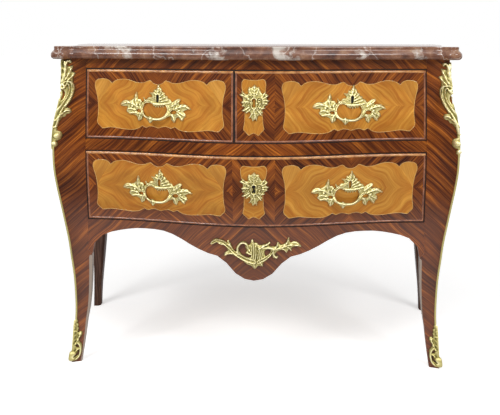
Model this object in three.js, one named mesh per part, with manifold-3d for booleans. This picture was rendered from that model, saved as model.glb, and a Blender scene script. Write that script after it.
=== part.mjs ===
// Commode chest in the Louis XV style: a moulded marble top over a serpentine, swelling case on cabriole
// legs, two unequal drawers above one long drawer, and gilt bronze mounts. Millimetres, +Z up, the front
// faces -Y, and the origin is on the floor under the middle of the chest.
import * as THREE from "three";
import { mergeVertices } from "three/addons/utils/BufferGeometryUtils.js";
import Module from "manifold-3d";

const wasm = await Module();
wasm.setup();

// Overall sizes
const overallWidth = 1120;
const overallDepth = 577;
const overallHeight = 870;
const marbleThickness = 33;
const marbleCornerOverhang = 30; // of the marble past the front corners at their widest
const marbleRearOverhang = 4; // past the rear stiles at their widest, and past the back

// Clearances: a seat between fixed pieces, the shadow gap round a drawer front, and the play beside a drawer
const seatGap = 0.3;
const drawerGap = 1.2;
const guidePlay = 2;
const cutOverrun = 5; // how far a cutter runs over the faces that it cuts
const weldDistance = 0.001; // vertices nearer than this are one

// The front's openings and what frames them
const lowerOpeningHeight = 197;
const middleRailHeight = 30;
const upperOpeningHeight = 187;
const topRailHeight = 23.7;
const stileWidthTop = 83.5; // of the front stiles beside the top of the upper drawers
const stileWidthBottom = 69; // and beside the foot of the long drawer
const dividerOffset = 50; // the divider stands this far left of the middle

// Front corner line and the swell of the front
const cornerSetback = 104;
const cornerSweep = 38;
const frontSwell = 88;
const sideHollow = 20;

// Carcass boards
const stileSide = 78;
const stileThickness = 36;
const rearStileDepth = 40;
const rearStileWidth = 74;
const legChamfer = 7;
const sideThickness = 20;
const kneeDrop = 99; // below the apron's top
const kneeRise = 12;
const kneeInnerShare = 0.853; // of bellyHalfWidth, at the leg's inner edge
const apronDrop = 151;
const apronThickness = 16; // at its thinnest level
const sideApronDrop = 20; // of the side panels' arch, below the apron's top
const railSetback = 165; // back edge of the top and middle rails, from the front plane
const subTopThickness = 18;
const dustBoardThickness = 9;
const bottomBoardThickness = 10;
const bottomBoardDrop = 5; // top of the bottom board below the long drawer's runners
const backThickness = 22;
const backRailTopHeight = 70;
const backRailBottomHeight = 46;
const muntinHalfWidth = 35;
const panelThickness = 8;
const panelGroove = 10;
const dividerThickness = 20;

// Drawer boxes and runners
const drawerFrontThickness = 20;
const drawerSideInset = 6.5;
const drawerSideThickness = 12;
const drawerBackThickness = 12;
const upperSideHeight = 150;
const lowerSideHeight = 158;
const drawerBackClearance = 28;
const drawerBottomThickness = 8;
const drawerBottomRise = 6;
const drawerBottomGroove = 5;
const tailLength = 12;
const tailRootHalf = 9;
const tailTipHalf = 13;
const tailCount = 3;
const runnerWidth = 43;
const guideWidth = 13;
const guideHeight = 26;
const centreRunnerHalf = 45;

// Locks
const lockWidth = 70;
const lockHeight = 98;
const lockDepth = 14;
const lockRecess = 8;
const boltWidth = 22;
const boltThickness = 6;
const boltLength = 60;
const boltThrow = 9;
const boltPlay = 1;

// Mounts
const keyholeDropUpper = 78.5; // below the top of its opening
const keyholeDropLower = 84;
const keyholeInset = 209; // of the outer keyholes, from the foot of the openings' ends
const handleHalfWidth = 92;
const handleThickness = 8;
const handleReach = 23; // how far the grip stands forward of the handle's plate
const handleKeyholeAcross = 6;
const handleKeyholeRise = 31;
const escutcheonHalfHeight = 44;
const escutcheonThickness = 7;
const escutcheonDrop = 3;
const apronMountHalfWidth = 120;
const apronMountDrop = 72; // its middle, below the apron's top
const apronMountThickness = 9;
const mountBevel = 1.4;
const mountSink = 3; // a mount's blank reaches this far into the wood before its seat is cut
const chuteHeight = 227.7;
const chuteWidth = 30;
const chuteThickness = 7;
const sabotHeight = 131;
const sabotWidth = 22;
const sabotThickness = 6;
const beadRadius = 3.6;

// Values that follow from the sizes above
const frontPlane = -overallDepth / 2;
const backPlane = overallDepth / 2;
const bellyHalfWidth = overallWidth / 2 - marbleCornerOverhang;
const rearHalfWidth = overallWidth / 2 - marbleRearOverhang;
const rearStileInner = rearHalfWidth - rearStileWidth;
const openingHalfTop = bellyHalfWidth - stileWidthTop;
const openingHalfBottom = bellyHalfWidth - stileWidthBottom;
const apronHalfWidth = bellyHalfWidth * kneeInnerShare;
const carcassHeight = overallHeight - marbleThickness - seatGap;
const carcassBack = backPlane - marbleRearOverhang;
const upperOpeningTop = carcassHeight - topRailHeight;
const upperOpeningBottom = upperOpeningTop - upperOpeningHeight;
const lowerOpeningTop = upperOpeningBottom - middleRailHeight;
const apronTop = lowerOpeningTop - lowerOpeningHeight;
const railBack = frontPlane + railSetback;
const rearStileFront = carcassBack - rearStileDepth;
const backFrameFront = carcassBack - backThickness;
const drawerRear = backFrameFront - drawerBackClearance;
const kneeHeight = apronTop - kneeDrop;
const kneeFoot = kneeHeight - seatGap;
const kneeTop = kneeHeight + kneeRise;
const chuteFoot = carcassHeight - chuteHeight;
const keyholeOffset = openingHalfBottom - keyholeInset;
const keyholeHeightUpper = upperOpeningTop - keyholeDropUpper;
const keyholeHeightLower = lowerOpeningTop - keyholeDropLower;
const cycle = 2 * Math.PI;

// Front corner line. Columns: height as a share of the carcass, then shares of bellyHalfWidth, cornerSetback,
// cornerSweep and frontSwell.
const cornerShares = [
  [0, 0.9585, 0.702, 0.21, 0.7],
  [0.048, 0.949, 0.798, 0.24, 0.7],
  [0.108, 0.943, 0.894, 0.29, 0.7],
  [0.167, 0.938, 0.971, 0.34, 0.7],
  [0.215, 0.938, 1, 0.37, 0.7],
  [0.287, 0.9415, 1, 0.45, 0.7],
  [0.359, 0.951, 0.9615, 0.605, 0.75],
  [0.418, 0.9585, 0.913, 0.816, 0.82],
  [0.478, 0.97, 0.8365, 0.947, 0.886],
  [0.538, 0.981, 0.74, 0.974, 0.93],
  [0.598, 0.9925, 0.644, 1, 0.966],
  [0.657, 1, 0.567, 1, 1],
  [0.717, 1, 0.548, 1, 1],
  [0.777, 0.9925, 0.567, 0.974, 0.977],
  [0.837, 0.97, 0.606, 0.895, 0.955],
  [0.896, 0.951, 0.663, 0.816, 0.943],
  [0.956, 0.9415, 0.7115, 0.763, 0.92],
  [1, 0.943, 0.74, 0.737, 0.909],
];

// Rear stile's outer line: height share, share of rearHalfWidth
const rearShares = [
  [0, 1],
  [0.115, 0.993],
  [0.197, 0.991],
  [0.278, 0.99],
  [0.359, 0.989],
  [0.478, 0.991],
  [0.598, 0.9965],
  [0.717, 1],
  [0.777, 0.9964],
  [0.896, 0.984],
  [1, 0.975],
];

// The side's plan between front corner and back: distance share, share of sideHollow
const sideShares = [
  [0, 0],
  [0.05, -0.6],
  [0.1, -0.9],
  [0.16, -1],
  [0.28, -0.85],
  [0.45, -0.3],
  [0.6, 0.15],
  [0.8, 0.3],
  [1, 0],
];

// Front leg below the knee: height share of kneeHeight, then shares of bellyHalfWidth for the inner edge, of
// stileSide and of stileThickness
const frontLegShares = [
  [0, 0.911, 0.333, 0.53],
  [0.133, 0.9, 0.36, 0.58],
  [0.267, 0.891, 0.4, 0.64],
  [0.4, 0.883, 0.45, 0.72],
  [0.533, 0.87, 0.5, 0.8],
  [0.78, 0.8585, 0.564, 0.917],
  [1, kneeInnerShare, 0.64, 1],
];

// Rear leg below the knee: height share of kneeHeight, shares of rearHalfWidth and of rearStileDepth
const rearLegShares = [
  [0, 0.96, 0.75],
  [0.2, 0.953, 0.78],
  [0.37, 0.943, 0.83],
  [0.55, 0.931, 0.9],
  [0.71, 0.921, 0.96],
  [1, 0.905, 1],
];

// Apron's lower edge: share of apronHalfWidth, share of apronDrop below the apron's top
const apronShares = [
  [0, 1],
  [0.073, 0.953],
  [0.11, 0.868],
  [0.142, 0.755],
  [0.199, 0.583],
  [0.288, 0.503],
  [0.376, 0.384],
  [0.478, 0.2185],
  [0.564, 0.146],
  [0.706, 0.139],
  [0.774, 0.166],
  [0.896, 0.252],
  [0.962, 0.358],
  [0.985, 0.455],
];

// Side apron's lower edge: distance share from front to rear stile, share of its rise from the knee
const sideApronShares = [
  [0, 0],
  [0.05, 0.5],
  [0.12, 0.8],
  [0.25, 0.98],
  [0.4, 0.94],
  [0.5, 0.88],
  [0.6, 0.94],
  [0.75, 0.98],
  [0.88, 0.8],
  [0.95, 0.5],
  [1, 0],
];

// Smooth reading of one column of a table of shares
function readShares(rows, at, column = 1) {
  const last = rows.length - 1;
  let i = 0;
  while (i < last - 1 && at > rows[i + 1][0]) i++;
  const slope = (k) => {
    const before = rows[Math.max(k - 1, 0)];
    const after = rows[Math.min(k + 1, last)];
    return (after[column] - before[column]) / (after[0] - before[0]);
  };
  const span = rows[i + 1][0] - rows[i][0];
  const t = THREE.MathUtils.clamp((at - rows[i][0]) / span, 0, 1);
  const ease = t * t * (3 - 2 * t);
  const leave = t * (1 - t) * (1 - t) * slope(i) * span;
  const arrive = t * t * (t - 1) * slope(i + 1) * span;
  return THREE.MathUtils.lerp(rows[i][column], rows[i + 1][column], ease) + leave + arrive;
}

const steps = (count) => Array.from({ length: count + 1 }, (_, i) => i / count);
const mix = THREE.MathUtils.lerp;

// Lines of the case at a height z
const heightShare = (z) => THREE.MathUtils.clamp(z / carcassHeight, 0, 1);
const cornerOut = (z) => bellyHalfWidth * readShares(cornerShares, heightShare(z));
const cornerForward = (z) => frontPlane + cornerSetback * readShares(cornerShares, heightShare(z), 2);
const rearOut = (z) => rearHalfWidth * readShares(rearShares, heightShare(z));
const stileJoint = (z) => cornerForward(z) + stileSide;

function openingHalf(z) {
  const share = (z - apronTop) / (upperOpeningTop - apronTop);
  return mix(openingHalfBottom, openingHalfTop, share);
}

// The front as one double-curved surface that stiles, rails, drawer fronts and apron all share
function frontAt(x, z) {
  const across = Math.abs(x);
  const end = openingHalf(z);
  const sweep = cornerSweep * readShares(cornerShares, heightShare(z), 3);
  if (across > end) {
    const share = (across - end) / (cornerOut(z) - end);
    return cornerForward(z) + sweep * (1 - share * share);
  }
  const swell = frontSwell * readShares(cornerShares, heightShare(z), 4);
  return cornerForward(z) + sweep - (swell * (1 + Math.cos((Math.PI * across) / end))) / 2;
}

// The side's outer surface
function sideAt(y, z) {
  const share = (y - cornerForward(z)) / (carcassBack - cornerForward(z));
  return mix(cornerOut(z), rearOut(z), share) + sideHollow * readShares(sideShares, share);
}

// Turns a closed geometry's faces outwards
function outwards(geometry) {
  const at = geometry.attributes.position;
  const index = geometry.index.array;
  const corners = [new THREE.Vector3(), new THREE.Vector3(), new THREE.Vector3()];
  let volume = 0;
  for (let i = 0; i < index.length; i += 3) {
    corners.forEach((corner, k) => corner.fromBufferAttribute(at, index[i + k]));
    volume += corners[0].dot(corners[1].clone().cross(corners[2]));
  }
  if (volume < 0) index.reverse();
  return geometry;
}

// Indexed geometry from points and triangles
function geometryFrom(points, triangles) {
  const geometry = new THREE.BufferGeometry();
  geometry.setAttribute("position", new THREE.Float32BufferAttribute(points.flat(), 3));
  geometry.setIndex(triangles.flat());
  return outwards(geometry);
}

// A three.js geometry with shared vertices merged and nothing but positions left
function merged(geometry) {
  const plain = geometry.index ? geometry.toNonIndexed() : geometry.clone();
  for (const name of Object.keys(plain.attributes)) {
    if (name !== "position") plain.deleteAttribute(name);
  }
  return outwards(mergeVertices(plain, weldDistance));
}

function solidOf(geometry) {
  const mesh = new wasm.Mesh({
    numProp: 3,
    vertProperties: new Float32Array(geometry.attributes.position.array),
    triVerts: new Uint32Array(geometry.index.array),
  });
  return new wasm.Manifold(mesh);
}

function geometryOf(solid) {
  const mesh = solid.getMesh();
  const geometry = new THREE.BufferGeometry();
  geometry.setAttribute("position", new THREE.BufferAttribute(mesh.vertProperties, 3));
  geometry.setIndex(new THREE.BufferAttribute(mesh.triVerts, 1));
  return geometry;
}

function cut(geometry, ...tools) {
  return geometryOf(tools.reduce((solid, tool) => solid.subtract(solidOf(tool)), solidOf(geometry)));
}

const moved = (geometry, x, y, z) => geometry.clone().translate(x, y, z);
const mirrored = (geometry) => outwards(geometry.clone().scale(-1, 1, 1));

function box(x0, x1, y0, y1, z0, z1) {
  const geometry = new THREE.BoxGeometry(x1 - x0, y1 - y0, z1 - z0);
  return moved(merged(geometry), (x0 + x1) / 2, (y0 + y1) / 2, (z0 + z1) / 2);
}

// A closed board over a grid of shares, with one function for each of its two faces
function board(us, ws, front, back) {
  const points = [front, back].flatMap((face) => us.flatMap((u) => ws.map((w) => face(u, w))));
  const id = (side, i, j) => (side * us.length + i) * ws.length + j;
  const triangles = [];
  const quad = (a, b, c, d) => triangles.push([a, b, c], [a, c, d]);
  const [lastU, lastW] = [us.length - 1, ws.length - 1];
  for (let i = 0; i < lastU; i++) {
    for (let j = 0; j < lastW; j++) {
      quad(id(0, i, j), id(0, i + 1, j), id(0, i + 1, j + 1), id(0, i, j + 1));
      quad(id(1, i, j), id(1, i, j + 1), id(1, i + 1, j + 1), id(1, i + 1, j));
    }
    quad(id(0, i, 0), id(1, i, 0), id(1, i + 1, 0), id(0, i + 1, 0));
    quad(id(0, i, lastW), id(0, i + 1, lastW), id(1, i + 1, lastW), id(1, i, lastW));
  }
  for (let j = 0; j < lastW; j++) {
    quad(id(0, 0, j), id(0, 0, j + 1), id(1, 0, j + 1), id(1, 0, j));
    quad(id(0, lastU, j), id(1, lastU, j), id(1, lastU, j + 1), id(0, lastU, j + 1));
  }
  return geometryFrom(points, triangles);
}

// A closed skin through rings of equally many points, capped at both ends
function loft(rings) {
  const size = rings[0].length;
  const triangles = [];
  for (let r = 0; r < rings.length - 1; r++) {
    for (let i = 0; i < size; i++) {
      const [a, b] = [r * size + i, r * size + ((i + 1) % size)];
      triangles.push([a, b, b + size], [a, b + size, a + size]);
    }
  }
  const flat = (ring) => ring.map(([x, y]) => new THREE.Vector2(x, y));
  const cap = (ring) => THREE.ShapeUtils.triangulateShape(flat(ring), []);
  const top = (rings.length - 1) * size;
  const forward = THREE.ShapeUtils.isClockWise(flat(rings[0]));
  const face = ([a, b, c], turn) => (turn ? [a, c, b] : [a, b, c]);
  for (const t of cap(rings[0])) triangles.push(face(t, !forward));
  for (const t of cap(rings[rings.length - 1])) triangles.push(face(t.map((k) => k + top), forward));
  return geometryFrom(rings.flat(), triangles);
}

// A ring that runs against the clock, grown outwards in plan
function grown(ring, distance) {
  const plan = ring.map(([x, y]) => new THREE.Vector2(x, y));
  return ring.map(([x, y, z], i) => {
    const arriving = plan[i].clone().sub(plan.at(i - 1)).normalize();
    const leaving = plan[(i + 1) % ring.length].clone().sub(plan[i]).normalize();
    const along = arriving.add(leaving).normalize();
    const reach = distance / along.dot(leaving);
    return [x + along.y * reach, y - along.x * reach, z];
  });
}

// A prism of an outline drawn in (y, z), from x0 to x1
function prismAlongX(outline, x0, x1) {
  const shape = new THREE.Shape(outline.map(([y, z]) => new THREE.Vector2(y, z)));
  const geometry = new THREE.ExtrudeGeometry(shape, { depth: x1 - x0, bevelEnabled: false });
  const turn = new THREE.Matrix4().makeBasis(
    new THREE.Vector3(0, 1, 0),
    new THREE.Vector3(0, 0, 1),
    new THREE.Vector3(1, 0, 0),
  );
  return moved(merged(geometry.applyMatrix4(turn)), x0, 0, 0);
}

// A prism of an outline drawn in (x, y), from z0 to z1
function prismAlongZ(outline, z0, z1) {
  const shape = new THREE.Shape(outline.map(([x, y]) => new THREE.Vector2(x, y)));
  const geometry = new THREE.ExtrudeGeometry(shape, { depth: z1 - z0, bevelEnabled: false });
  return moved(merged(geometry), 0, 0, z0);
}

// Finishes
const veneer = { color: 0x6e4122, roughness: 0.3, metalness: 0 };
const darkVeneer = { color: 0x5b3a2a, roughness: 0.4, metalness: 0 };
const panelVeneer = { color: 0xc17f34, roughness: 0.28, metalness: 0 };
const oak = { color: 0xb08a5a, roughness: 0.7, metalness: 0 };
const marble = { color: 0x966a5b, roughness: 0.2, metalness: 0 };
const bronze = { color: 0xd8c27a, roughness: 0.3, metalness: 1 };
const iron = { color: 0x4b4744, roughness: 0.6, metalness: 0.9 };

const chest = new THREE.Group();
chest.name = "commode_chest";

function place(group, name, geometry, finish) {
  const shown = geometry.toNonIndexed();
  shown.computeVertexNormals();
  const mesh = new THREE.Mesh(shown, new THREE.MeshStandardMaterial(finish));
  mesh.name = name;
  group.add(mesh);
}

function placePair(group, name, geometry, finish) {
  place(group, "right_" + name, geometry, finish);
  place(group, "left_" + name, mirrored(geometry), finish);
}

// Marble top: serpentine front, a round lobe at each front corner, hollow sides and a moulded edge
const marbleFrontOverhang = 25;
const marbleLobeRadius = 23;
const marbleLobeOut = 6; // lobe's centre outside the case's corner
const marbleLobeStartShare = -0.75; // of a half turn
const marbleFrontSteps = 14;
const marbleLobeSteps = 7;
const marbleSideSteps = 5;
const marbleEdgeInset = 10;
const marbleEdgeShares = [
  [0, 0.6],
  [0.12, 0.1],
  [0.3, 0],
  [0.47, 0.1],
  [0.6, 0.42],
  [0.7, 0.8],
  [0.85, 0.88],
  [0.97, 0.88],
  [1, 1],
];

function marbleOutline(inset) {
  const top = carcassHeight;
  const radius = marbleLobeRadius - inset;
  const lobe = [cornerOut(top) + marbleLobeOut, cornerForward(top) - marbleLobeOut];
  const notch = lobe[0] - marbleLobeRadius;
  const half = [];
  for (const share of steps(marbleFrontSteps)) {
    half.push([notch * share, frontAt(notch * share, top) - marbleFrontOverhang + inset]);
  }
  for (const share of steps(marbleLobeSteps)) {
    const angle = Math.PI * (share + marbleLobeStartShare);
    half.push([lobe[0] + radius * Math.cos(angle), lobe[1] + radius * Math.sin(angle)]);
  }
  const sideStart = lobe[1] + marbleLobeRadius;
  const [frontOverhang, backOverhang] = [marbleLobeRadius / 2, overallWidth / 2 - rearOut(top)];
  for (const share of steps(marbleSideSteps)) {
    const y = mix(sideStart, backPlane, share);
    const overhang = mix(frontOverhang, backOverhang, share);
    half.push([sideAt(Math.min(y, carcassBack), top) + overhang - inset, y]);
  }
  return [...half, ...half.slice(1).reverse().map(([x, y]) => [-x, y])];
}

function marbleTop() {
  const floor = carcassHeight + seatGap;
  const ring = ([share, insetShare]) =>
    marbleOutline(marbleEdgeInset * insetShare).map(([x, y]) => [x, y, floor + marbleThickness * share]);
  return loft(marbleEdgeShares.map(ring));
}

// Front legs: each is one piece with its corner stile
const legFrontShares = [0, 0.35, 0.6, 0.8, 0.92, 1];
const legSideShares = [0.08, 0.2, 0.4, 0.7, 1];
const legSteps = 8;
const stileSteps = 9; // of the side panels too

function frontLegRing(z, inner, side, thickness) {
  const front = legFrontShares.map((share) => {
    const x = mix(inner, cornerOut(z), share);
    return [x, frontAt(x, z), z];
  });
  const sides = legSideShares.map((share) => {
    const y = cornerForward(z) + side * share;
    return [sideAt(y, z), y, z];
  });
  const [jointX, jointY] = sides[sides.length - 1];
  const backX = Math.max(jointX - thickness, inner + legChamfer);
  const backY = Math.min(front[0][1] + thickness, jointY - legChamfer);
  return [...front, ...sides, [backX, jointY, z], [inner, backY, z]];
}

// A leg grown by the seat's gap shapes the backs of the mounts that wrap it
function frontLeg(growth = 0) {
  const leg = steps(legSteps).map((share) => {
    const inner = bellyHalfWidth * readShares(frontLegShares, share);
    const side = stileSide * readShares(frontLegShares, share, 2);
    const thickness = stileThickness * readShares(frontLegShares, share, 3);
    return frontLegRing(kneeFoot * share, inner, side, thickness);
  });
  const stile = steps(stileSteps).map((share) => {
    const z = mix(kneeTop, carcassHeight, share);
    return frontLegRing(z, openingHalf(z), stileSide, stileThickness);
  });
  return loft([...leg, ...stile].map((ring) => grown(ring, growth)));
}

// Rear legs: each is one piece with its rear stile, grooved for the back panel
function rearLegRing(z, inner, depth) {
  const front = carcassBack - depth;
  const outer = [0, 0.5, 1].map((share) => {
    const y = mix(front, carcassBack, share);
    return [sideAt(y, z), y, z];
  });
  return [...outer, [inner, carcassBack, z], [inner, front + legChamfer, z], [inner + legChamfer, front, z]];
}

function rearLeg() {
  const leg = steps(legSteps).map((share) => {
    const inner = rearHalfWidth * readShares(rearLegShares, share);
    return rearLegRing(kneeFoot * share, inner, rearStileDepth * readShares(rearLegShares, share, 2));
  });
  const stile = steps(stileSteps).map((share) => {
    const z = mix(kneeTop, carcassHeight, share);
    return rearLegRing(z, rearStileInner, rearStileDepth);
  });
  const groove = panelCutter(rearStileInner - cutOverrun, rearStileInner + panelGroove);
  return cut(loft([...leg, ...stile]), groove);
}

// Framed back
const backBottomRailFoot = apronTop - bottomBoardDrop - bottomBoardThickness;
const panelFoot = backBottomRailFoot + backRailBottomHeight;
const panelHead = carcassHeight - backRailTopHeight;
const panelFront = backFrameFront + (backThickness - panelThickness) / 2;

function panelCutter(x0, x1) {
  const [foot, head] = [panelFoot - panelGroove, panelHead + panelGroove];
  return box(x0, x1, panelFront - seatGap, panelFront + panelThickness + seatGap, foot, head);
}

function backPanel() {
  const reach = panelGroove - seatGap;
  const [x0, x1] = [muntinHalfWidth - reach, rearStileInner + reach];
  return box(x0, x1, panelFront, panelFront + panelThickness, panelFoot - reach, panelHead + reach);
}

function backFrame(group) {
  const half = rearStileInner - seatGap;
  const groove = panelCutter(-rearStileInner, rearStileInner);
  const foot = box(-half, half, backFrameFront, carcassBack, backBottomRailFoot, panelFoot);
  const head = box(-half, half, backFrameFront, carcassBack, panelHead, carcassHeight);
  const muntin = box(
    -muntinHalfWidth,
    muntinHalfWidth,
    backFrameFront,
    carcassBack,
    panelFoot + seatGap,
    panelHead - seatGap,
  );
  const edge = muntinHalfWidth - panelGroove;
  place(group, "back_bottom_rail", cut(foot, groove), oak);
  place(group, "back_top_rail", cut(head, groove), oak);
  place(group, "back_muntin", cut(muntin, panelCutter(edge, half), panelCutter(-half, -edge)), oak);
  placePair(group, "back_panel", backPanel(), oak);
}

// Side panels, swelling like the front, with a shaped lower edge
const sidePlanSteps = 9;

function sidePanel() {
  const foot = (u) => mix(kneeTop, apronTop - sideApronDrop, readShares(sideApronShares, u));
  const face = (inset) => (u, w) => {
    const z = mix(foot(u), carcassHeight, w);
    const y = mix(stileJoint(z) + seatGap, rearStileFront - seatGap, u);
    return [sideAt(y, z) - inset, y, z];
  };
  return board(steps(sidePlanSteps), steps(stileSteps), face(0), face(sideThickness));
}

// Rails and apron between the front stiles
const frontSteps = 26;
const railSteps = 2;

function rail(foot, head) {
  const point = (u, w, y) => {
    const z = mix(foot, head, w);
    const x = mix(-1, 1, u) * (openingHalf(z) - seatGap);
    return [x, y ?? frontAt(x, z), z];
  };
  return board(
    steps(frontSteps),
    steps(railSteps),
    (u, w) => point(u, w),
    (u, w) => point(u, w, railBack),
  );
}

const apronSteps = 18;
const apronRiseSteps = 2;

// The upright back lies behind the face's hindmost level, head or foot
function apronBackAt(x) {
  return Math.max(frontAt(x, apronTop), frontAt(x, apronTop - apronDrop)) + apronThickness;
}

function apron() {
  const head = apronTop;
  const edgeShare = apronShares[apronShares.length - 1][0];
  // The lower edge runs to the knee, then up the slanting shoulder of the leg.
  const inside = steps(apronSteps).map((share) => [
    edgeShare * apronHalfWidth * share,
    head - apronDrop * readShares(apronShares, edgeShare * share),
  ]);
  const shoulder = [
    [apronHalfWidth, kneeHeight],
    [openingHalf(kneeTop) - seatGap, kneeTop],
  ];
  const half = [...inside, ...shoulder];
  const edge = [...half.slice(1).reverse().map(([x, z]) => [-x, z]), ...half];
  const us = edge.map((_, i) => i);
  const endX = shoulder[1][0];
  const flat = (u, w) => {
    const [x, foot] = edge[u];
    const z = mix(foot, head - seatGap, w);
    // Only the outermost edge follows the stile's slant.
    const drift = Math.abs(x) > apronHalfWidth ? openingHalf(z) - seatGap - endX : 0;
    return [x + Math.sign(x) * drift, z];
  };
  const front = (u, w) => {
    const [x, z] = flat(u, w);
    return [x, frontAt(x, z), z];
  };
  const back = (u, w) => {
    const [x, z] = flat(u, w);
    return [x, apronBackAt(x), z];
  };
  return board(us, steps(apronRiseSteps), front, back);
}

// Horizontal boards inside the case, shaped to the sides
const shelfSteps = 6;

function shelf(foot, thickness, frontEdge, panel) {
  const ring = (z) => {
    const start = frontEdge[frontEdge.length - 1][1];
    const side = steps(shelfSteps).map((share) => {
      const y = mix(start, rearStileFront - seatGap, share);
      return [sideAt(y, foot) - sideThickness / 2, y];
    });
    const notch = [
      [rearStileInner - seatGap, rearStileFront - seatGap],
      [rearStileInner - seatGap, backFrameFront - seatGap],
    ];
    const half = [...frontEdge, ...side, ...notch];
    return [...half, ...half.reverse().map(([x, y]) => [-x, y])].map(([x, y]) => [x, y, z]);
  };
  const sides = [moved(panel, -seatGap, 0, 0), moved(mirrored(panel), seatGap, 0, 0)];
  return cut(loft([ring(foot), ring(foot + thickness)]), ...sides);
}

// The bottom board follows the apron's back
const apronBackSteps = 8;

function apronBackEdge() {
  const half = apronHalfWidth - cutOverrun;
  const along = steps(apronBackSteps).map((share) => {
    const x = half * share;
    return [x, apronBackAt(x) - mountSink];
  });
  return [...along.slice(1), [half, stileJoint(apronTop) + seatGap + cutOverrun]];
}

// Drawers: sides with dovetails at both ends, grooved for the bottom
function tailRows(foot, height) {
  const margin = height / (2 * tailCount);
  return steps(tailCount - 1).map((share) => mix(foot + margin, foot + height - margin, share));
}

// A tail's outline in (y, z) from its root to its tip; a cutter for its socket is wider by play and runs over
function tail(root, tip, height, play = 0, overRoot = 0, overTip = 0) {
  const way = Math.sign(tip - root);
  const flare = (tailTipHalf - tailRootHalf) / Math.abs(tip - root);
  const rootHalf = tailRootHalf + play - flare * overRoot;
  const tipHalf = tailTipHalf + play + flare * overTip;
  return [
    [root - way * overRoot, height - rootHalf],
    [tip + way * overTip, height - tipHalf],
    [tip + way * overTip, height + tipHalf],
    [root - way * overRoot, height + rootHalf],
  ];
}

function drawerSide(x0, x1, shoulder, foot, height) {
  const rows = tailRows(foot, height);
  const rearShoulder = drawerRear - drawerBackThickness - seatGap;
  const front = rows.flatMap((row) => tail(shoulder, shoulder - tailLength, row)).reverse();
  const rear = rows.flatMap((row) => tail(rearShoulder, drawerRear, row));
  const outline = [
    [shoulder, foot],
    [rearShoulder, foot],
    ...rear,
    [rearShoulder, foot + height],
    [shoulder, foot + height],
    ...front,
  ];
  return { outline, rows, x0, x1, rearShoulder };
}

function tailCutters(side, root, tip, overTip) {
  const outline = (row) => tail(root, tip, row, seatGap, cutOverrun, overTip);
  return side.rows.map((row) => prismAlongX(outline(row), side.x0 - seatGap, side.x1 + seatGap));
}

const drawerRiseSteps = 4;

function makeDrawer(name, spec) {
  const group = new THREE.Group();
  const { left, right, foot, head, leftBox, rightBox, sideHeight, thinHeight, finish } = spec;
  const backAt = (x) => frontAt(x, thinHeight) + drawerFrontThickness;
  const at = (u, w) => {
    const z = mix(foot, head, w);
    return [mix(left(z), right(z), u), z];
  };
  const front = (u, w) => {
    const [x, z] = at(u, w);
    return [x, frontAt(x, z), z];
  };
  const back = (u, w) => {
    const [x, z] = at(u, w);
    return [x, backAt(x), z];
  };
  const across = Math.round((frontSteps * (right(foot) - left(foot))) / (2 * openingHalfBottom));
  const blank = board(steps(across), steps(drawerRiseSteps), front, back);

  const boxFoot = foot - drawerGap + seatGap;
  const bottomFoot = boxFoot + drawerBottomRise;
  const sideSpans = [
    ["left", leftBox, leftBox + drawerSideThickness],
    ["right", rightBox - drawerSideThickness, rightBox],
  ];
  const sides = sideSpans.map(([hand, x0, x1]) => {
    const shoulder = Math.max(backAt(x0), backAt(x1)) + seatGap;
    return { hand, shoulder, ...drawerSide(x0, x1, shoulder, boxFoot, sideHeight) };
  });

  // Bottom board: its front edge follows the drawer front's back
  const sideReach = drawerSideThickness - drawerBottomGroove;
  const bottomOutline = (play) => {
    const [x0, x1] = [leftBox + sideReach - play, rightBox - sideReach + play];
    const curve = steps(across).map((share) => {
      const x = mix(x0, x1, share);
      return [x, backAt(x) - drawerBottomGroove - play];
    });
    return [...curve, [x1, drawerRear + play], [x0, drawerRear + play]];
  };
  const bottomHead = bottomFoot + drawerBottomThickness;
  const bottom = prismAlongZ(bottomOutline(0), bottomFoot, bottomHead);
  const bottomCutter = prismAlongZ(bottomOutline(seatGap), bottomFoot - seatGap, bottomHead + seatGap);

  // Front: rebates beside the sides, sockets for the tails, a groove for the bottom, a recess for the lock
  const far = overallWidth / 2;
  const rebates = sides.map((side) => {
    const y0 = Math.min(backAt(side.x0), backAt(side.x1)) - tailLength - 2 * seatGap;
    const [x0, x1] = side.hand === "left" ? [-far, side.x0 - seatGap] : [side.x1 + seatGap, far];
    return box(x0, x1, y0, backPlane, foot - cutOverrun, head + cutOverrun);
  });
  const sockets = sides.flatMap((side) => {
    return tailCutters(side, side.shoulder, side.shoulder - tailLength, seatGap);
  });
  const lock = lockFrame(spec.lockX, backAt, head - seatGap);
  const frontSolid = cut(blank, ...rebates, ...sockets, bottomCutter, lock.recess);
  place(group, name + "_front", frontSolid, finish);

  for (const side of sides) {
    const solid = cut(prismAlongX(side.outline, side.x0, side.x1), bottomCutter);
    place(group, name + "_" + side.hand + "_side", solid, oak);
  }
  const backFoot = bottomHead + seatGap;
  const backFront = drawerRear - drawerBackThickness;
  const backBoard = box(leftBox, rightBox, backFront, drawerRear, backFoot, boxFoot + sideHeight);
  const pins = sides.flatMap((side) => tailCutters(side, side.rearShoulder, drawerRear, cutOverrun));
  place(group, name + "_back", cut(backBoard, ...pins), oak);
  place(group, name + "_bottom", bottom, oak);
  place(group, name + "_lock_case", lock.box, iron);
  place(group, name + "_lock_bolt", lock.bolt, iron);
  chest.add(group);
  return { blank, mortise: lock.mortise };
}

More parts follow.
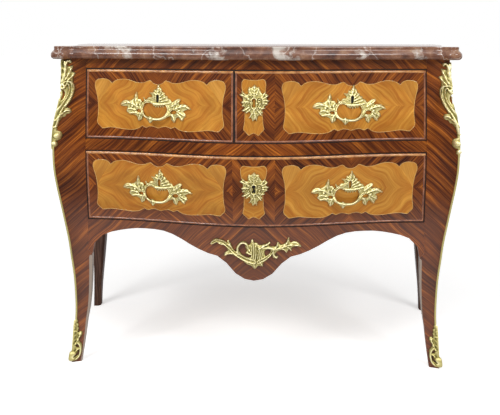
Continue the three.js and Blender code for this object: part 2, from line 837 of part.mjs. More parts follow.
// A lock stands square to the drawer front's back at lockX
function lockFrame(lockX, backAt, top) {
  const slope = (backAt(lockX + lockWidth / 2) - backAt(lockX - lockWidth / 2)) / lockWidth;
  const turn = Math.atan(slope);
  const set = (geometry) => moved(geometry.clone().rotateZ(turn), lockX, backAt(lockX), 0);
  const [half, foot] = [lockWidth / 2, top - lockHeight];
  const slot = (play, z0, z1) => {
    const [wide, front] = [boltWidth / 2 + play, (lockDepth - boltThickness) / 2 - lockRecess - play];
    return box(-wide, wide, front, front + boltThickness + 2 * play, z0, z1);
  };
  const body = box(-half, half, -lockRecess, lockDepth - lockRecess, foot, top);
  const wide = half + seatGap;
  return {
    box: set(cut(body, slot(seatGap, top - boltLength - seatGap, top + cutOverrun))),
    bolt: set(slot(0, top - boltLength, top)),
    recess: set(box(-wide, wide, -lockRecess - seatGap, overallDepth, foot - seatGap, top + cutOverrun)),
    mortise: set(slot(boltPlay, top, top + boltThrow + drawerGap + boltPlay)),
  };
}

// Rococo mounts: an outline in shares of a unit, with openings, laid on a curved surface
function flourish(outline, openings, unit, thickness, bevel) {
  const path = (shares, clockwise) => {
    const points = shares.map(([u, v]) => new THREE.Vector2(u * unit, v * unit));
    return THREE.ShapeUtils.isClockWise(points) === clockwise ? points : points.reverse();
  };
  const shape = new THREE.Shape(path(outline, false));
  shape.holes = openings.map((opening) => new THREE.Path(path(opening, true)));
  return new THREE.ExtrudeGeometry(shape, {
    depth: thickness + mountSink - bevel,
    bevelEnabled: true,
    bevelSegments: 1,
    bevelSize: bevel,
    bevelOffset: -bevel,
    bevelThickness: bevel,
  });
}

// Bends a flat mount onto the front: across becomes x, up becomes z, and depth stands forward
function laidOnFront(geometry, x, z, bevel, lift) {
  const at = geometry.attributes.position;
  for (let i = 0; i < at.count; i++) {
    const [across, up] = [at.getX(i), at.getY(i)];
    const forward = Math.max(at.getZ(i), -bevel) - mountSink + lift(across, up);
    at.setXYZ(i, x + across, frontAt(x + across, z + up) - forward, z + up);
  }
  return merged(geometry);
}

const handleOutlineShares = [
  [0.111, 0.711],
  [0.185, 0.578],
  [0.252, 0.489],
  [0.326, 0.4],
  [0.4, 0.35],
  [0.474, 0.25],
  [0.56, 0.3],
  [0.711, 0.326],
  [0.674, 0.193],
  [0.8, 0.185],
  [0.904, 0.163],
  [0.993, 0.089],
  [0.785, 0.007],
  [0.844, -0.119],
  [0.756, -0.237],
  [0.65, -0.15],
  [0.59, -0.16],
  [0.53, -0.285],
  [0.45, -0.22],
  [0.437, -0.133],
  [0.36, -0.13],
  [0.267, -0.178],
  [0.15, -0.2],
  [0.03, -0.2],
  [-0.04, -0.225],
  [-0.133, -0.267],
  [-0.17, -0.2],
  [-0.267, -0.165],
  [-0.378, -0.12],
  [-0.41, -0.2],
  [-0.48, -0.275],
  [-0.563, -0.178],
  [-0.644, -0.096],
  [-0.785, -0.074],
  [-0.837, 0],
  [-0.807, 0.104],
  [-1, 0.148],
  [-0.904, 0.252],
  [-0.711, 0.259],
  [-0.62, 0.33],
  [-0.541, 0.489],
  [-0.5, 0.341],
  [-0.42, 0.281],
  [-0.36, 0.22],
  [-0.27, 0.3],
  [-0.133, 0.37],
  [-0.09, 0.42],
  [-0.156, 0.489],
  [-0.052, 0.526],
  [0.015, 0.563],
];
const handleLoopShares = [
  [-0.33, 0.13],
  [-0.35, 0.03],
  [-0.32, -0.06],
  [-0.24, -0.1],
  [-0.12, -0.12],
  [0, -0.13],
  [0.12, -0.125],
  [0.24, -0.09],
  [0.31, -0.03],
  [0.33, 0.04],
  [0.28, 0.15],
  [0.2, 0.08],
  [0.07, 0.075],
  [-0.06, 0.09],
  [-0.13, 0.17],
  [-0.24, 0.19],
];
const handleLeftEyeShares = [
  [-0.53, 0.03],
  [-0.44, 0.03],
  [-0.43, -0.04],
  [-0.54, -0.03],
];
const handleRightEyeShares = [
  [0.43, -0.03],
  [0.5, 0.03],
  [0.59, 0.01],
  [0.5, -0.07],
];
const gripSpanShare = 0.42;
const gripStartShare = 0.02;
const gripFullShare = -0.07;

function handle(x, keyholeHeight, seat) {
  const unit = handleHalfWidth;
  const flat = flourish(
    handleOutlineShares,
    [handleLoopShares, handleLeftEyeShares, handleRightEyeShares],
    unit,
    handleThickness,
    mountBevel,
  );
  // The lower bow of the loop stands forward, so that fingers fit behind it.
  const lift = (across, up) => {
    const bow = Math.max(0, 1 - (across / (gripSpanShare * unit)) ** 2);
    const share = (gripStartShare - up / unit) / (gripStartShare - gripFullShare);
    return handleReach * bow * THREE.MathUtils.smoothstep(share, 0, 1);
  };
  const [middle, height] = [x - handleKeyholeAcross, keyholeHeight - handleKeyholeRise];
  return cut(laidOnFront(flat, middle, height, mountBevel, lift), seat);
}

const escutcheonShares = [
  [0.01, 0.978],
  [0.11, 0.86],
  [0.25, 0.84],
  [0.333, 0.634],
  [0.44, 0.48],
  [0.61, 0.6],
  [0.77, 0.41],
  [0.7, 0.3],
  [0.817, 0.13],
  [0.74, 0.06],
  [0.774, -0.054],
  [0.58, -0.19],
  [0.6, -0.3],
  [0.42, -0.45],
  [0.473, -0.58],
  [0.237, -0.71],
  [0.12, -0.84],
  [0.13, -1],
  [0, -0.9],
  [-0.1, -1.01],
  [-0.17, -0.88],
  [-0.32, -0.84],
  [-0.25, -0.68],
  [-0.27, -0.49],
  [-0.47, -0.58],
  [-0.5, -0.46],
  [-0.68, -0.47],
  [-0.57, -0.32],
  [-0.56, -0.21],
  [-0.71, 0.01],
  [-0.62, 0.14],
  [-0.69, 0.3],
  [-0.81, 0.43],
  [-0.69, 0.61],
  [-0.52, 0.48],
  [-0.31, 0.52],
  [-0.34, 0.68],
  [-0.28, 0.86],
  [-0.13, 0.86],
];

function escutcheon(keyholeHeight, seat) {
  const flat = flourish(escutcheonShares, [], escutcheonHalfHeight, escutcheonThickness, mountBevel);
  return cut(laidOnFront(flat, 0, keyholeHeight - escutcheonDrop, mountBevel, () => 0), seat);
}

const apronMountShares = [
  [-0.957, 0.196],
  [-0.9, 0.283],
  [-0.797, 0.311],
  [-0.667, 0.268],
  [-0.58, 0.22],
  [-0.558, 0.283],
  [-0.507, 0.152],
  [-0.39, 0.04],
  [-0.37, 0.152],
  [-0.319, 0.239],
  [-0.232, 0.275],
  [-0.159, 0.235],
  [-0.072, 0.21],
  [-0.007, 0.304],
  [0.072, 0.232],
  [0.159, 0.198],
  [0.348, 0.246],
  [0.304, 0.174],
  [0.42, 0.181],
  [0.51, 0.2],
  [0.55, 0.268],
  [0.58, 0.196],
  [0.652, 0.225],
  [0.768, 0.341],
  [0.797, 0.246],
  [0.942, 0.254],
  [1.036, 0.174],
  [0.93, 0.2],
  [0.84, 0.159],
  [0.833, 0.065],
  [0.77, 0.1],
  [0.725, 0.029],
  [0.652, 0.101],
  [0.53, 0.09],
  [0.475, 0.02],
  [0.52, -0.072],
  [0.44, -0.06],
  [0.405, -0.022],
  [0.275, -0.152],
  [0.19, -0.215],
  [0.21, -0.31],
  [0.1, -0.28],
  [0, -0.37],
  [-0.046, -0.28],
  [-0.145, -0.24],
  [-0.217, -0.167],
  [-0.39, -0.08],
  [-0.55, -0.007],
  [-0.638, -0.08],
  [-0.587, 0.036],
  [-0.629, 0.123],
  [-0.768, 0.167],
  [-0.817, 0.225],
  [-0.9, 0.188],
];
const apronMountLeftEyeShares = [
  [-0.325, 0.1],
  [-0.27, 0.2],
  [-0.2, 0.2],
  [-0.18, 0.1],
  [-0.18, 0.02],
  [-0.07, -0.05],
  [-0.13, -0.09],
  [-0.25, -0.05],
];
const apronMountRightEyeShares = [
  [0.24, 0.06],
  [0.33, 0.09],
  [0.35, 0],
  [0.25, -0.04],
];

function apronMount(seat) {
  const openings = [apronMountLeftEyeShares, apronMountRightEyeShares];
  const flat = flourish(apronMountShares, openings, apronMountHalfWidth, apronMountThickness, mountBevel);
  return cut(laidOnFront(flat, 0, apronTop - apronMountDrop, mountBevel, () => 0), seat);
}

// Corner mounts wrap the leg's arris: height share, then shares of the front width, side width and thickness
const chuteShares = [
  [0, 0.16, 0.24, 0.4],
  [0.05, 0.32, 0.34, 0.8],
  [0.1, 0.34, 0.3, 0.9],
  [0.13, 0.5, 0.4, 0.9],
  [0.155, 0.68, 0.55, 1],
  [0.18, 0.5, 0.4, 0.9],
  [0.22, 0.32, 0.3, 0.9],
  [0.28, 0.38, 0.36, 1],
  [0.34, 0.56, 0.5, 1],
  [0.38, 0.82, 0.7, 0.9],
  [0.405, 1, 0.85, 0.8],
  [0.44, 0.76, 0.75, 1],
  [0.5, 0.9, 0.85, 1],
  [0.58, 0.98, 0.95, 1.05],
  [0.67, 1, 1, 1.1],
  [0.74, 0.9, 0.92, 1],
  [0.77, 0.8, 0.8, 0.9],
  [0.83, 0.84, 0.84, 1],
  [0.88, 0.76, 0.76, 1],
  [0.95, 0.7, 0.7, 0.9],
  [1, 0.62, 0.62, 0.9],
];
const chuteSlotShares = [0.58, 0.69, 0.14, 0.4]; // foot and head heights, then inner and outer width
const sabotShares = [
  [0, 0.95, 0.85, 1.6],
  [0.05, 1.1, 0.9, 2],
  [0.12, 1.15, 0.95, 1.5],
  [0.22, 1.1, 1, 1.1],
  [0.32, 1.05, 0.95, 1],
  [0.42, 0.8, 0.8, 0.9],
  [0.52, 0.62, 0.65, 0.9],
  [0.6, 0.85, 0.7, 0.9],
  [0.66, 0.88, 0.7, 0.8],
  [0.72, 0.45, 0.45, 0.8],
  [0.84, 0.3, 0.3, 0.8],
  [0.94, 0.2, 0.2, 0.7],
  [1, 0.14, 0.2, 0.5],
];

function cornerMount(rows, foot, height, width, thickness) {
  const ring = ([share, frontShare, sideShare, thickShare]) => {
    const z = foot + height * share;
    const out = thickness * thickShare;
    const [cornerX, cornerY] = [cornerOut(z), cornerForward(z)];
    const [frontX, sideY] = [cornerX - width * frontShare, cornerY + width * sideShare];
    const [frontY, sideX] = [frontAt(frontX, z), sideAt(sideY, z)];
    const [midX, midY] = [(frontX + cornerX) / 2, (sideY + cornerY) / 2];
    const sink = Math.min(mountSink, (sideX - frontX) / 2, (sideY - frontY) / 2);
    return [
      [frontX, frontY + sink, z],
      [frontX, frontY - out / 2, z],
      [midX, frontAt(midX, z) - out, z],
      [cornerX + out / 2, cornerY - out / 2, z],
      [sideAt(midY, z) + out, midY, z],
      [sideX + out / 2, sideY, z],
      [sideX - sink, sideY, z],
    ];
  };
  return loft(rows.map(ring));
}

function chute(seat) {
  const solid = cornerMount(chuteShares, chuteFoot, chuteHeight, chuteWidth, chuteThickness);
  const [footShare, headShare, innerShare, outerShare] = chuteSlotShares;
  const z0 = chuteFoot + chuteHeight * footShare;
  const z1 = chuteFoot + chuteHeight * headShare;
  const edge = cornerOut(z0);
  const slot = box(edge - chuteWidth * outerShare, edge - chuteWidth * innerShare, frontPlane, 0, z0, z1);
  return cut(solid, slot, seat);
}

function sabot(seat) {
  return cut(cornerMount(sabotShares, 0, sabotHeight, sabotWidth, sabotThickness), seat);
}

// A slim bead down the corner from chute to sabot
const beadSteps = 11;
const beadSides = 5;

function bead(seat) {
  const [z0, z1] = [sabotHeight + seatGap, chuteFoot - seatGap];
  const path = new THREE.CatmullRomCurve3(
    steps(beadSteps).map((share) => {
      const z = mix(z0, z1, share);
      return new THREE.Vector3(cornerOut(z), cornerForward(z), z);
    }),
  );
  const circle = steps(beadSides).slice(1).map((share) => {
    return new THREE.Vector2(Math.cos(cycle * share), Math.sin(cycle * share)).multiplyScalar(beadRadius);
  });
  const tube = new THREE.ExtrudeGeometry(new THREE.Shape(circle), { steps: beadSteps, extrudePath: path });
  return cut(merged(tube), seat);
}

// Drawer specifications: the fronts meet over the hidden divider
const seam = -dividerOffset;
const insideDivider = dividerThickness / 2 + guidePlay;
const freeHalf = (z) => openingHalf(z) - drawerGap;
const upperBoxHalf = openingHalf(upperOpeningTop) - drawerSideInset;
const lowerBoxHalf = openingHalf(lowerOpeningTop) - drawerSideInset;
const upperRow = {
  foot: upperOpeningBottom + drawerGap,
  head: upperOpeningTop - drawerGap,
  sideHeight: upperSideHeight,
  thinHeight: upperOpeningTop,
  finish: panelVeneer,
};
const upperLeft = makeDrawer("upper_left_drawer", {
  ...upperRow,
  left: (z) => -freeHalf(z),
  right: () => seam - drawerGap / 2,
  leftBox: -upperBoxHalf,
  rightBox: seam - insideDivider,
  lockX: -keyholeOffset,
});
const upperRight = makeDrawer("upper_right_drawer", {
  ...upperRow,
  left: () => seam + drawerGap / 2,
  right: freeHalf,
  leftBox: seam + insideDivider,
  rightBox: upperBoxHalf,
  lockX: keyholeOffset,
});
const lower = makeDrawer("lower_drawer", {
  foot: apronTop + drawerGap,
  head: lowerOpeningTop - drawerGap,
  sideHeight: lowerSideHeight,
  thinHeight: apronTop,
  finish: panelVeneer,
  left: (z) => -freeHalf(z),
  right: freeHalf,
  leftBox: -lowerBoxHalf,
  rightBox: lowerBoxHalf,
  lockX: 0,
});

// Case
const carcass = new THREE.Group();
place(carcass, "marble_top", marbleTop(), marble);
placePair(carcass, "front_leg", frontLeg(), veneer);
placePair(carcass, "rear_leg", rearLeg(), darkVeneer);
const panel = sidePanel();
placePair(carcass, "side_panel", panel, veneer);
backFrame(carcass);
const topRail = rail(upperOpeningTop, carcassHeight);
place(carcass, "top_rail", cut(topRail, upperLeft.mortise, upperRight.mortise), veneer);
place(carcass, "middle_rail", cut(rail(lowerOpeningTop, upperOpeningBottom), lower.mortise), veneer);
const apronBoard = apron();
place(carcass, "front_apron", apronBoard, veneer);

// Boards and runners inside the case
const straightEdge = [[cutOverrun, railBack + seatGap]];
const subTopFoot = carcassHeight - subTopThickness;
const dustFoot = lowerOpeningTop + seatGap;
const bottomFoot = apronTop - bottomBoardDrop - bottomBoardThickness;
place(carcass, "sub_top", shelf(subTopFoot, subTopThickness, straightEdge, panel), oak);
place(carcass, "dust_board", shelf(dustFoot, dustBoardThickness, straightEdge, panel), oak);
const bottomBoard = shelf(bottomFoot, bottomBoardThickness, apronBackEdge(), panel);
place(carcass, "bottom_board", cut(bottomBoard, moved(apronBoard, 0, seatGap, 0)), oak);

function runner(boxHalf, boardHead, top) {
  const [inner, edge] = [boxHalf + guidePlay + guideWidth - runnerWidth, boxHalf + guidePlay];
  const foot = boardHead + seatGap;
  const [y0, y1] = [railBack + seatGap, backFrameFront - seatGap];
  const outline = [
    [inner, foot],
    [edge + guideWidth, foot],
    [edge + guideWidth, top + guideHeight],
    [edge, top + guideHeight],
    [edge, top],
    [inner, top],
  ];
  const shape = new THREE.Shape(outline.map(([x, z]) => new THREE.Vector2(x, z)));
  const bar = new THREE.ExtrudeGeometry(shape, { depth: y1 - y0, bevelEnabled: false });
  return moved(merged(bar.rotateX(Math.PI / 2)), 0, y1, 0);
}

const dustHead = dustFoot + dustBoardThickness;
placePair(carcass, "upper_runner", runner(upperBoxHalf, dustHead, upperOpeningBottom), oak);
placePair(carcass, "lower_runner", runner(lowerBoxHalf, apronTop - bottomBoardDrop, apronTop), oak);
const centreRunner = box(
  seam - centreRunnerHalf,
  seam + centreRunnerHalf,
  railBack + seatGap,
  backFrameFront - seatGap,
  dustHead + seatGap,
  upperOpeningBottom,
);
place(carcass, "centre_runner", centreRunner, oak);

// The divider stands on the middle rail and the centre runner, under the top rail and the sub-top
function divider() {
  const x = seam - dividerThickness / 2;
  const front = frontAt(x, upperOpeningTop) + drawerFrontThickness + guidePlay;
  const foot = upperOpeningBottom + seatGap;
  const outline = [
    [front, foot],
    [backFrameFront - seatGap, foot],
    [backFrameFront - seatGap, subTopFoot - seatGap],
    [railBack + seatGap, subTopFoot - seatGap],
    [railBack + seatGap, upperOpeningTop - seatGap],
    [front, upperOpeningTop - seatGap],
  ];
  return prismAlongX(outline, x, x + dividerThickness);
}
place(carcass, "drawer_divider", divider(), oak);

// Mounts
const seatOf = (blank) => moved(blank, 0, -seatGap, 0);
place(carcass, "apron_mount", apronMount(seatOf(apronBoard)), bronze);
const legSeat = frontLeg(seatGap);
placePair(carcass, "corner_chute", chute(legSeat), bronze);
placePair(carcass, "sabot", sabot(legSeat), bronze);
placePair(carcass, "corner_bead", bead(legSeat), bronze);
chest.add(carcass);

const fittings = new THREE.Group();
const handles = [
  ["upper_left_handle", -keyholeOffset, keyholeHeightUpper, upperLeft],
  ["upper_right_handle", keyholeOffset, keyholeHeightUpper, upperRight],
  ["lower_left_handle", -keyholeOffset, keyholeHeightLower, lower],
  ["lower_right_handle", keyholeOffset, keyholeHeightLower, lower],
];
for (const [name, x, height, drawer] of handles) {
  place(fittings, name, handle(x, height, seatOf(drawer.blank)), bronze);
}
place(fittings, "upper_escutcheon", escutcheon(keyholeHeightUpper, seatOf(upperRight.blank)), bronze);
place(fittings, "lower_escutcheon", escutcheon(keyholeHeightLower, seatOf(lower.blank)), bronze);
chest.add(fittings);

export default chest;
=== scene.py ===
import math

import bmesh
import bpy
import numpy as np
from mathutils import Matrix, Vector
from mathutils.geometry import delaunay_2d_cdt


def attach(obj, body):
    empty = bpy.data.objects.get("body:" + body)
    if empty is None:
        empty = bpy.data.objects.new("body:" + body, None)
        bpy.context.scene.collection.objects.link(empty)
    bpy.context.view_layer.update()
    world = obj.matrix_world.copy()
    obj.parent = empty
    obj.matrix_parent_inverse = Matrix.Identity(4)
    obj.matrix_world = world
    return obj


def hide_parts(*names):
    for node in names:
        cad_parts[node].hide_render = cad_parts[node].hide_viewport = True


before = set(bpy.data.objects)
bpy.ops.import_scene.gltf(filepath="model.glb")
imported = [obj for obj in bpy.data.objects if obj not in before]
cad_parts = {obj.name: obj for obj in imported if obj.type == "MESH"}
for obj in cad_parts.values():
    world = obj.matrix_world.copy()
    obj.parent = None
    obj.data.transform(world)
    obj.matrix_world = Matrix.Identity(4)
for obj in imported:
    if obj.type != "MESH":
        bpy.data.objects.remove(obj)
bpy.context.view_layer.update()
print("frame loaded:", len(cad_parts), "solids")

mm = 0.001  # sizes are in millimetres where a comment names no other unit, and meshes are made in metres

# The case: the same front and side surfaces as the solids have
case = {
    "halfWidth": 530,
    "rearHalfWidth": 556,
    "height": 836.7,
    "front": -288.5,
    "back": 284.5,
    "setback": 104,
    "sweep": 38,
    "swell": 88,
    "hollow": 20,
    "apronTop": 399,
    "upperTop": 813,
    "endTop": 446.5,
    "endFoot": 461,
    # height share, then shares of halfWidth, setback, sweep and swell
    "corner": [
        (0, 0.9585, 0.702, 0.21, 0.7), (0.048, 0.949, 0.798, 0.24, 0.7),
        (0.108, 0.943, 0.894, 0.29, 0.7), (0.167, 0.938, 0.971, 0.34, 0.7), (0.215, 0.938, 1, 0.37, 0.7),
        (0.287, 0.9415, 1, 0.45, 0.7), (0.359, 0.951, 0.9615, 0.605, 0.75),
        (0.418, 0.9585, 0.913, 0.816, 0.82), (0.478, 0.97, 0.8365, 0.947, 0.886),
        (0.538, 0.981, 0.74, 0.974, 0.93), (0.598, 0.9925, 0.644, 1, 0.966), (0.657, 1, 0.567, 1, 1),
        (0.717, 1, 0.548, 1, 1), (0.777, 0.9925, 0.567, 0.974, 0.977),
        (0.837, 0.97, 0.606, 0.895, 0.955), (0.896, 0.951, 0.663, 0.816, 0.943),
        (0.956, 0.9415, 0.7115, 0.763, 0.92), (1, 0.943, 0.74, 0.737, 0.909),
    ],
    "rear": [
        (0, 1), (0.115, 0.993), (0.197, 0.991), (0.278, 0.99), (0.359, 0.989), (0.478, 0.991),
        (0.598, 0.9965), (0.717, 1), (0.777, 0.9964), (0.896, 0.984), (1, 0.975),
    ],
    "side": [
        (0, 0), (0.05, -0.6), (0.1, -0.9), (0.16, -1), (0.28, -0.85), (0.45, -0.3), (0.6, 0.15),
        (0.8, 0.3), (1, 0),
    ],
}


def readShares(rows, at, column=1):
    table = np.asarray(rows, float)
    keys, values = table[:, 0], table[:, column]
    low = np.maximum(np.arange(len(keys)) - 1, 0)
    high = np.minimum(np.arange(len(keys)) + 1, len(keys) - 1)
    slopes = (values[high] - values[low]) / (keys[high] - keys[low])
    at = np.asarray(at, float)
    i = np.clip(np.searchsorted(keys, at) - 1, 0, len(keys) - 2)
    span = keys[i + 1] - keys[i]
    t = np.clip((at - keys[i]) / span, 0, 1)
    ease = t * t * (3 - 2 * t)
    bend = t * (1 - t) ** 2 * slopes[i] * span + t * t * (t - 1) * slopes[i + 1] * span
    return values[i] + (values[i + 1] - values[i]) * ease + bend


def heightShare(z):
    return np.clip(np.asarray(z, float) / case["height"], 0, 1)


def cornerOut(z):
    return case["halfWidth"] * readShares(case["corner"], heightShare(z))


def cornerForward(z):
    return case["front"] + case["setback"] * readShares(case["corner"], heightShare(z), 2)


def openingHalf(z):
    share = (np.asarray(z, float) - case["apronTop"]) / (case["upperTop"] - case["apronTop"])
    return case["endFoot"] + (case["endTop"] - case["endFoot"]) * share


def frontAt(x, z):
    across, end, forward = np.abs(x), openingHalf(z), cornerForward(z)
    sweep = case["sweep"] * readShares(case["corner"], heightShare(z), 3)
    swell = case["swell"] * readShares(case["corner"], heightShare(z), 4)
    share = (across - end) / (cornerOut(z) - end)
    stile = forward + sweep * (1 - share * share)
    middle = forward + sweep - swell * (1 + np.cos(np.pi * across / end)) / 2
    return np.where(across > end, stile, middle)


def sideAt(y, z):
    forward = cornerForward(z)
    share = (np.asarray(y, float) - forward) / (case["back"] - forward)
    rear = case["rearHalfWidth"] * readShares(case["rear"], heightShare(z))
    return cornerOut(z) + (rear - cornerOut(z)) * share + case["hollow"] * readShares(case["side"], share)


# Unit normals of the front and of the right side, from the slopes over 1 mm
def frontNormal(x, z):
    dx = frontAt(x + 0.5, z) - frontAt(x - 0.5, z)
    dz = frontAt(x, z + 0.5) - frontAt(x, z - 0.5)
    normal = np.stack([dx, -np.ones_like(dx), dz], -1)
    return normal / np.linalg.norm(normal, axis=-1, keepdims=True)


def sideNormal(y, z):
    dy = sideAt(y + 0.5, z) - sideAt(y - 0.5, z)
    dz = sideAt(y, z + 0.5) - sideAt(y, z - 0.5)
    normal = np.stack([np.ones_like(dy), -dy, -dz], -1)
    return normal / np.linalg.norm(normal, axis=-1, keepdims=True)


# Materials
def tone(text):
    def linear(value):
        return value / 12.92 if value <= 0.04045 else ((value + 0.055) / 1.055) ** 2.4

    return tuple(linear(int(text[i : i + 2], 16) / 255) for i in (1, 3, 5)) + (1,)


def addNode(tree, kind, settings=None, inputs=None, stops=None):
    node = tree.nodes.new(kind)
    for name, value in (settings or {}).items():
        setattr(node, name, value)
    for socket, value in (inputs or {}).items():
        if isinstance(value, bpy.types.NodeSocket):
            tree.links.new(value, node.inputs[socket])
        else:
            node.inputs[socket].default_value = value
    for i, (place, colour) in enumerate(stops or []):
        ramp = node.color_ramp.elements
        element = ramp[i] if i < 2 else ramp.new(place)
        element.position = place
        element.color = tone(colour)
    return node


def startMaterial(name, **inputs):
    material = bpy.data.materials.new(name)
    material.use_nodes = True
    tree = material.node_tree
    shader = tree.nodes["Principled BSDF"]
    for socket, value in inputs.items():
        shader.inputs[socket.replace("_", " ")].default_value = value
    return material, tree, shader


def objectPlace(tree):
    return addNode(tree, "ShaderNodeTexCoord").outputs["Object"]


def readAttribute(tree, name):
    return addNode(tree, "ShaderNodeAttribute", {"attribute_name": name}).outputs["Fac"]


# Sizes of patterns are in mm, and a texture's scale counts its repeats in a metre
def noise(tree, where, size, detail=2.0, **more):
    inputs = {"Vector": where, "Scale": 1 / (size * mm), "Detail": detail, **more}
    return addNode(tree, "ShaderNodeTexNoise", inputs=inputs)


def stretchedNoise(tree, where, sizes, detail, **more):
    inputs = {"Vector": where, "Scale": [1 / (size * mm) for size in sizes]}
    place = addNode(tree, "ShaderNodeMapping", inputs=inputs).outputs[0]
    inputs = {"Vector": place, "Scale": 1.0, "Detail": detail, **more}
    return addNode(tree, "ShaderNodeTexNoise", inputs=inputs).outputs["Fac"]


def maths(tree, operation, *values, clamp=False):
    settings = {"operation": operation, "use_clamp": clamp}
    return addNode(tree, "ShaderNodeMath", settings, dict(enumerate(values))).outputs[0]


def ranged(tree, value, given, wanted, **settings):
    names = ("From Min", "From Max", "To Min", "To Max")
    inputs = {"Value": value, **dict(zip(names, given + wanted))}
    return addNode(tree, "ShaderNodeMapRange", settings, inputs).outputs[0]


def coloured(tree, value, stops):
    return addNode(tree, "ShaderNodeValToRGB", inputs={"Fac": value}, stops=stops).outputs[0]


def blended(tree, share, first, second, kind="MIX"):
    settings = {"data_type": "RGBA", "blend_type": kind}
    return addNode(tree, "ShaderNodeMix", settings, {"Factor": share, 6: first, 7: second}).outputs[2]


# relief holds the height, the strength of the bump and its depth in mm
def dress(tree, shader, colour, roughness=None, relief=None):
    tree.links.new(colour, shader.inputs["Base Color"])
    if roughness is not None:
        tree.links.new(roughness, shader.inputs["Roughness"])
    if relief is not None:
        height, strength, depth = relief
        inputs = {"Height": height, "Strength": strength, "Distance": depth * mm}
        bump = addNode(tree, "ShaderNodeBump", inputs=inputs)
        tree.links.new(bump.outputs[0], shader.inputs["Normal"])


# Low down, on the apron and the legs, the veneer is mixed towards a pale grey-pink: painted reflection of
# the pale floor in the polish (heights in metres).
# On the front legs a pale grey strip along the inner edge is painted reflection of the white surroundings
# (fade in mm).
paintedSheen = {"floorSheenHeights": (0.5, 0.38), "floorSheenTone": "#80665f", "reflectionFade": 0.6, "reflectionTone": "#94867a"}


# Knife-cut veneer under French polish: streaks run along the leaf, and the polish gives a soft clear gloss
def veneerMaterial(name, figure):
    polish = {"Specular_IOR_Level": 0.1, "Coat_Weight": 0.13, "Coat_Roughness": 0.07}
    material, tree, shader = startMaterial(name, **polish)
    grain = addNode(tree, "ShaderNodeUVMap", {"uv_map": "grain"}).outputs[0]
    # The tree did not grow straight: the grain wanders slowly across the leaf
    drift = noise(tree, grain, figure["driftSize"], 1.0).outputs["Color"]
    reach = (0, figure["driftReach"] * mm, 0)
    wandered = addNode(
        tree, "ShaderNodeVectorMath", {"operation": "MULTIPLY_ADD"}, {0: drift, 1: reach, 2: grain}
    ).outputs[0]
    rough = {"Roughness": 0.6, "Distortion": figure["distortion"]}
    streaks, fineStreaks, clouds, pores = (
        stretchedNoise(tree, wandered, (along, across, 1 / mm), detail, **rough)
        for along, across, detail in figure["noises"]
    )
    inputs = {"Factor": figure["fineShare"], 2: streaks, 3: fineStreaks}
    bands = addNode(tree, "ShaderNodeMix", {"data_type": "FLOAT"}, inputs).outputs[0]
    dimmed = ranged(tree, clouds, (0.3, 0.7), (figure["dim"], 1.0))
    # Pores are about 0.2 mm across, and are drawn at 0.7 mm so that they show
    pitted = ranged(tree, pores, (0.34, 0.46), (figure["poreDim"], 1.0))
    shade = maths(tree, "MULTIPLY", dimmed, pitted)
    final = blended(tree, 1.0, coloured(tree, bands, figure["stops"]), shade, "MULTIPLY")
    # Painted reflection: from the first height down to the second the colour goes paler, as the floor would
    # show in the polish
    height = addNode(tree, "ShaderNodeSeparateXYZ", inputs={0: objectPlace(tree)}).outputs["Z"]
    floorSheen = ranged(tree, height, paintedSheen["floorSheenHeights"], (0, figure["floorSheen"]), interpolation_type="SMOOTHSTEP")
    withFloorSheen = blended(tree, floorSheen, final, tone(paintedSheen["floorSheenTone"]))
    # A pale grey strip on the front legs' inner edge: painted reflection
    reflected = ranged(tree, readAttribute(tree, "paintedReflectionStrip"), (0, paintedSheen["reflectionFade"]), (0, 1))
    withReflection = blended(tree, reflected, withFloorSheen, tone(paintedSheen["reflectionTone"]))
    gloss = ranged(tree, clouds, (0.3, 0.7), (0.3, 0.44))
    dress(tree, shader, withReflection, gloss, (pores, 0.25, 0.1))
    return material


# Noises for streaks, fine streaks, clouds and pores: the size along and across the leaf, and the detail
kingwood = veneerMaterial(
    "kingwood_veneer_french_polished",
    {
        "noises": [(280, 11, 5), (150, 2.9, 4), (150, 70, 2), (9, 0.7, 1)],
        "driftSize": 170,
        "driftReach": 44,
        "distortion": 0.4,
        "fineShare": 0.46,
        "dim": 0.52,
        "poreDim": 0.84,
        "floorSheen": 0.26,
        "stops": [(0.34, "#260c03"), (0.66, "#cf7a29"), (0.44, "#572509"), (0.54, "#884615")],
    },
)
panelWood = veneerMaterial(
    "tulipwood_panel_veneer_french_polished",
    {
        "noises": [(280, 24, 5), (150, 6, 4), (120, 70, 3), (10, 0.8, 1)],
        "driftSize": 80,
        "driftReach": 60,
        "distortion": 0.9,
        "fineShare": 0.4,
        "dim": 0.7,
        "poreDim": 0.92,
        "floorSheen": 0.0,
        "stops": [(0.3, "#935019"), (0.7, "#dfa348"), (0.43, "#b16c24"), (0.56, "#c78833")],
    },
)
earWood = veneerMaterial(
    "tulipwood_ear_veneer_french_polished",
    {
        "noises": [(240, 20, 5), (130, 5, 4), (110, 60, 3), (10, 0.8, 1)],
        "driftSize": 80,
        "driftReach": 30,
        "distortion": 0.6,
        "fineShare": 0.4,
        "dim": 0.78,
        "poreDim": 0.92,
        "floorSheen": 0.0,
        "stops": [(0.3, "#95571f"), (0.7, "#d99d4a"), (0.43, "#b2752d"), (0.56, "#c48a39")],
    },
)
rearWood = veneerMaterial(
    "walnut_stained_and_waxed",
    {
        "noises": [(170, 10, 4), (90, 2.6, 3), (260, 80, 2), (9, 0.7, 1)],
        "driftSize": 140,
        "driftReach": 14,
        "distortion": 0.3,
        "fineShare": 0.4,
        "dim": 0.75,
        "poreDim": 0.85,
        "floorSheen": 0.0,
        "stops": [(0.34, "#33201a"), (0.64, "#7e5f50"), (0.46, "#4c342b"), (0.55, "#634639")],
    },
)


# A thin wood line, bent and scraped: plain colour, faintly mottled
def lineMaterial(name, dark, light, roughness, coat=0.8):
    material, tree, shader = startMaterial(
        name, Roughness=roughness, Specular_IOR_Level=0.3, Coat_Weight=coat, Coat_Roughness=0.06
    )
    mottle = noise(tree, objectPlace(tree), 14).outputs["Fac"]
    dress(tree, shader, coloured(tree, mottle, [(0.3, dark), (0.7, light)]), relief=(mottle, 0.2, 0.1))
    return material
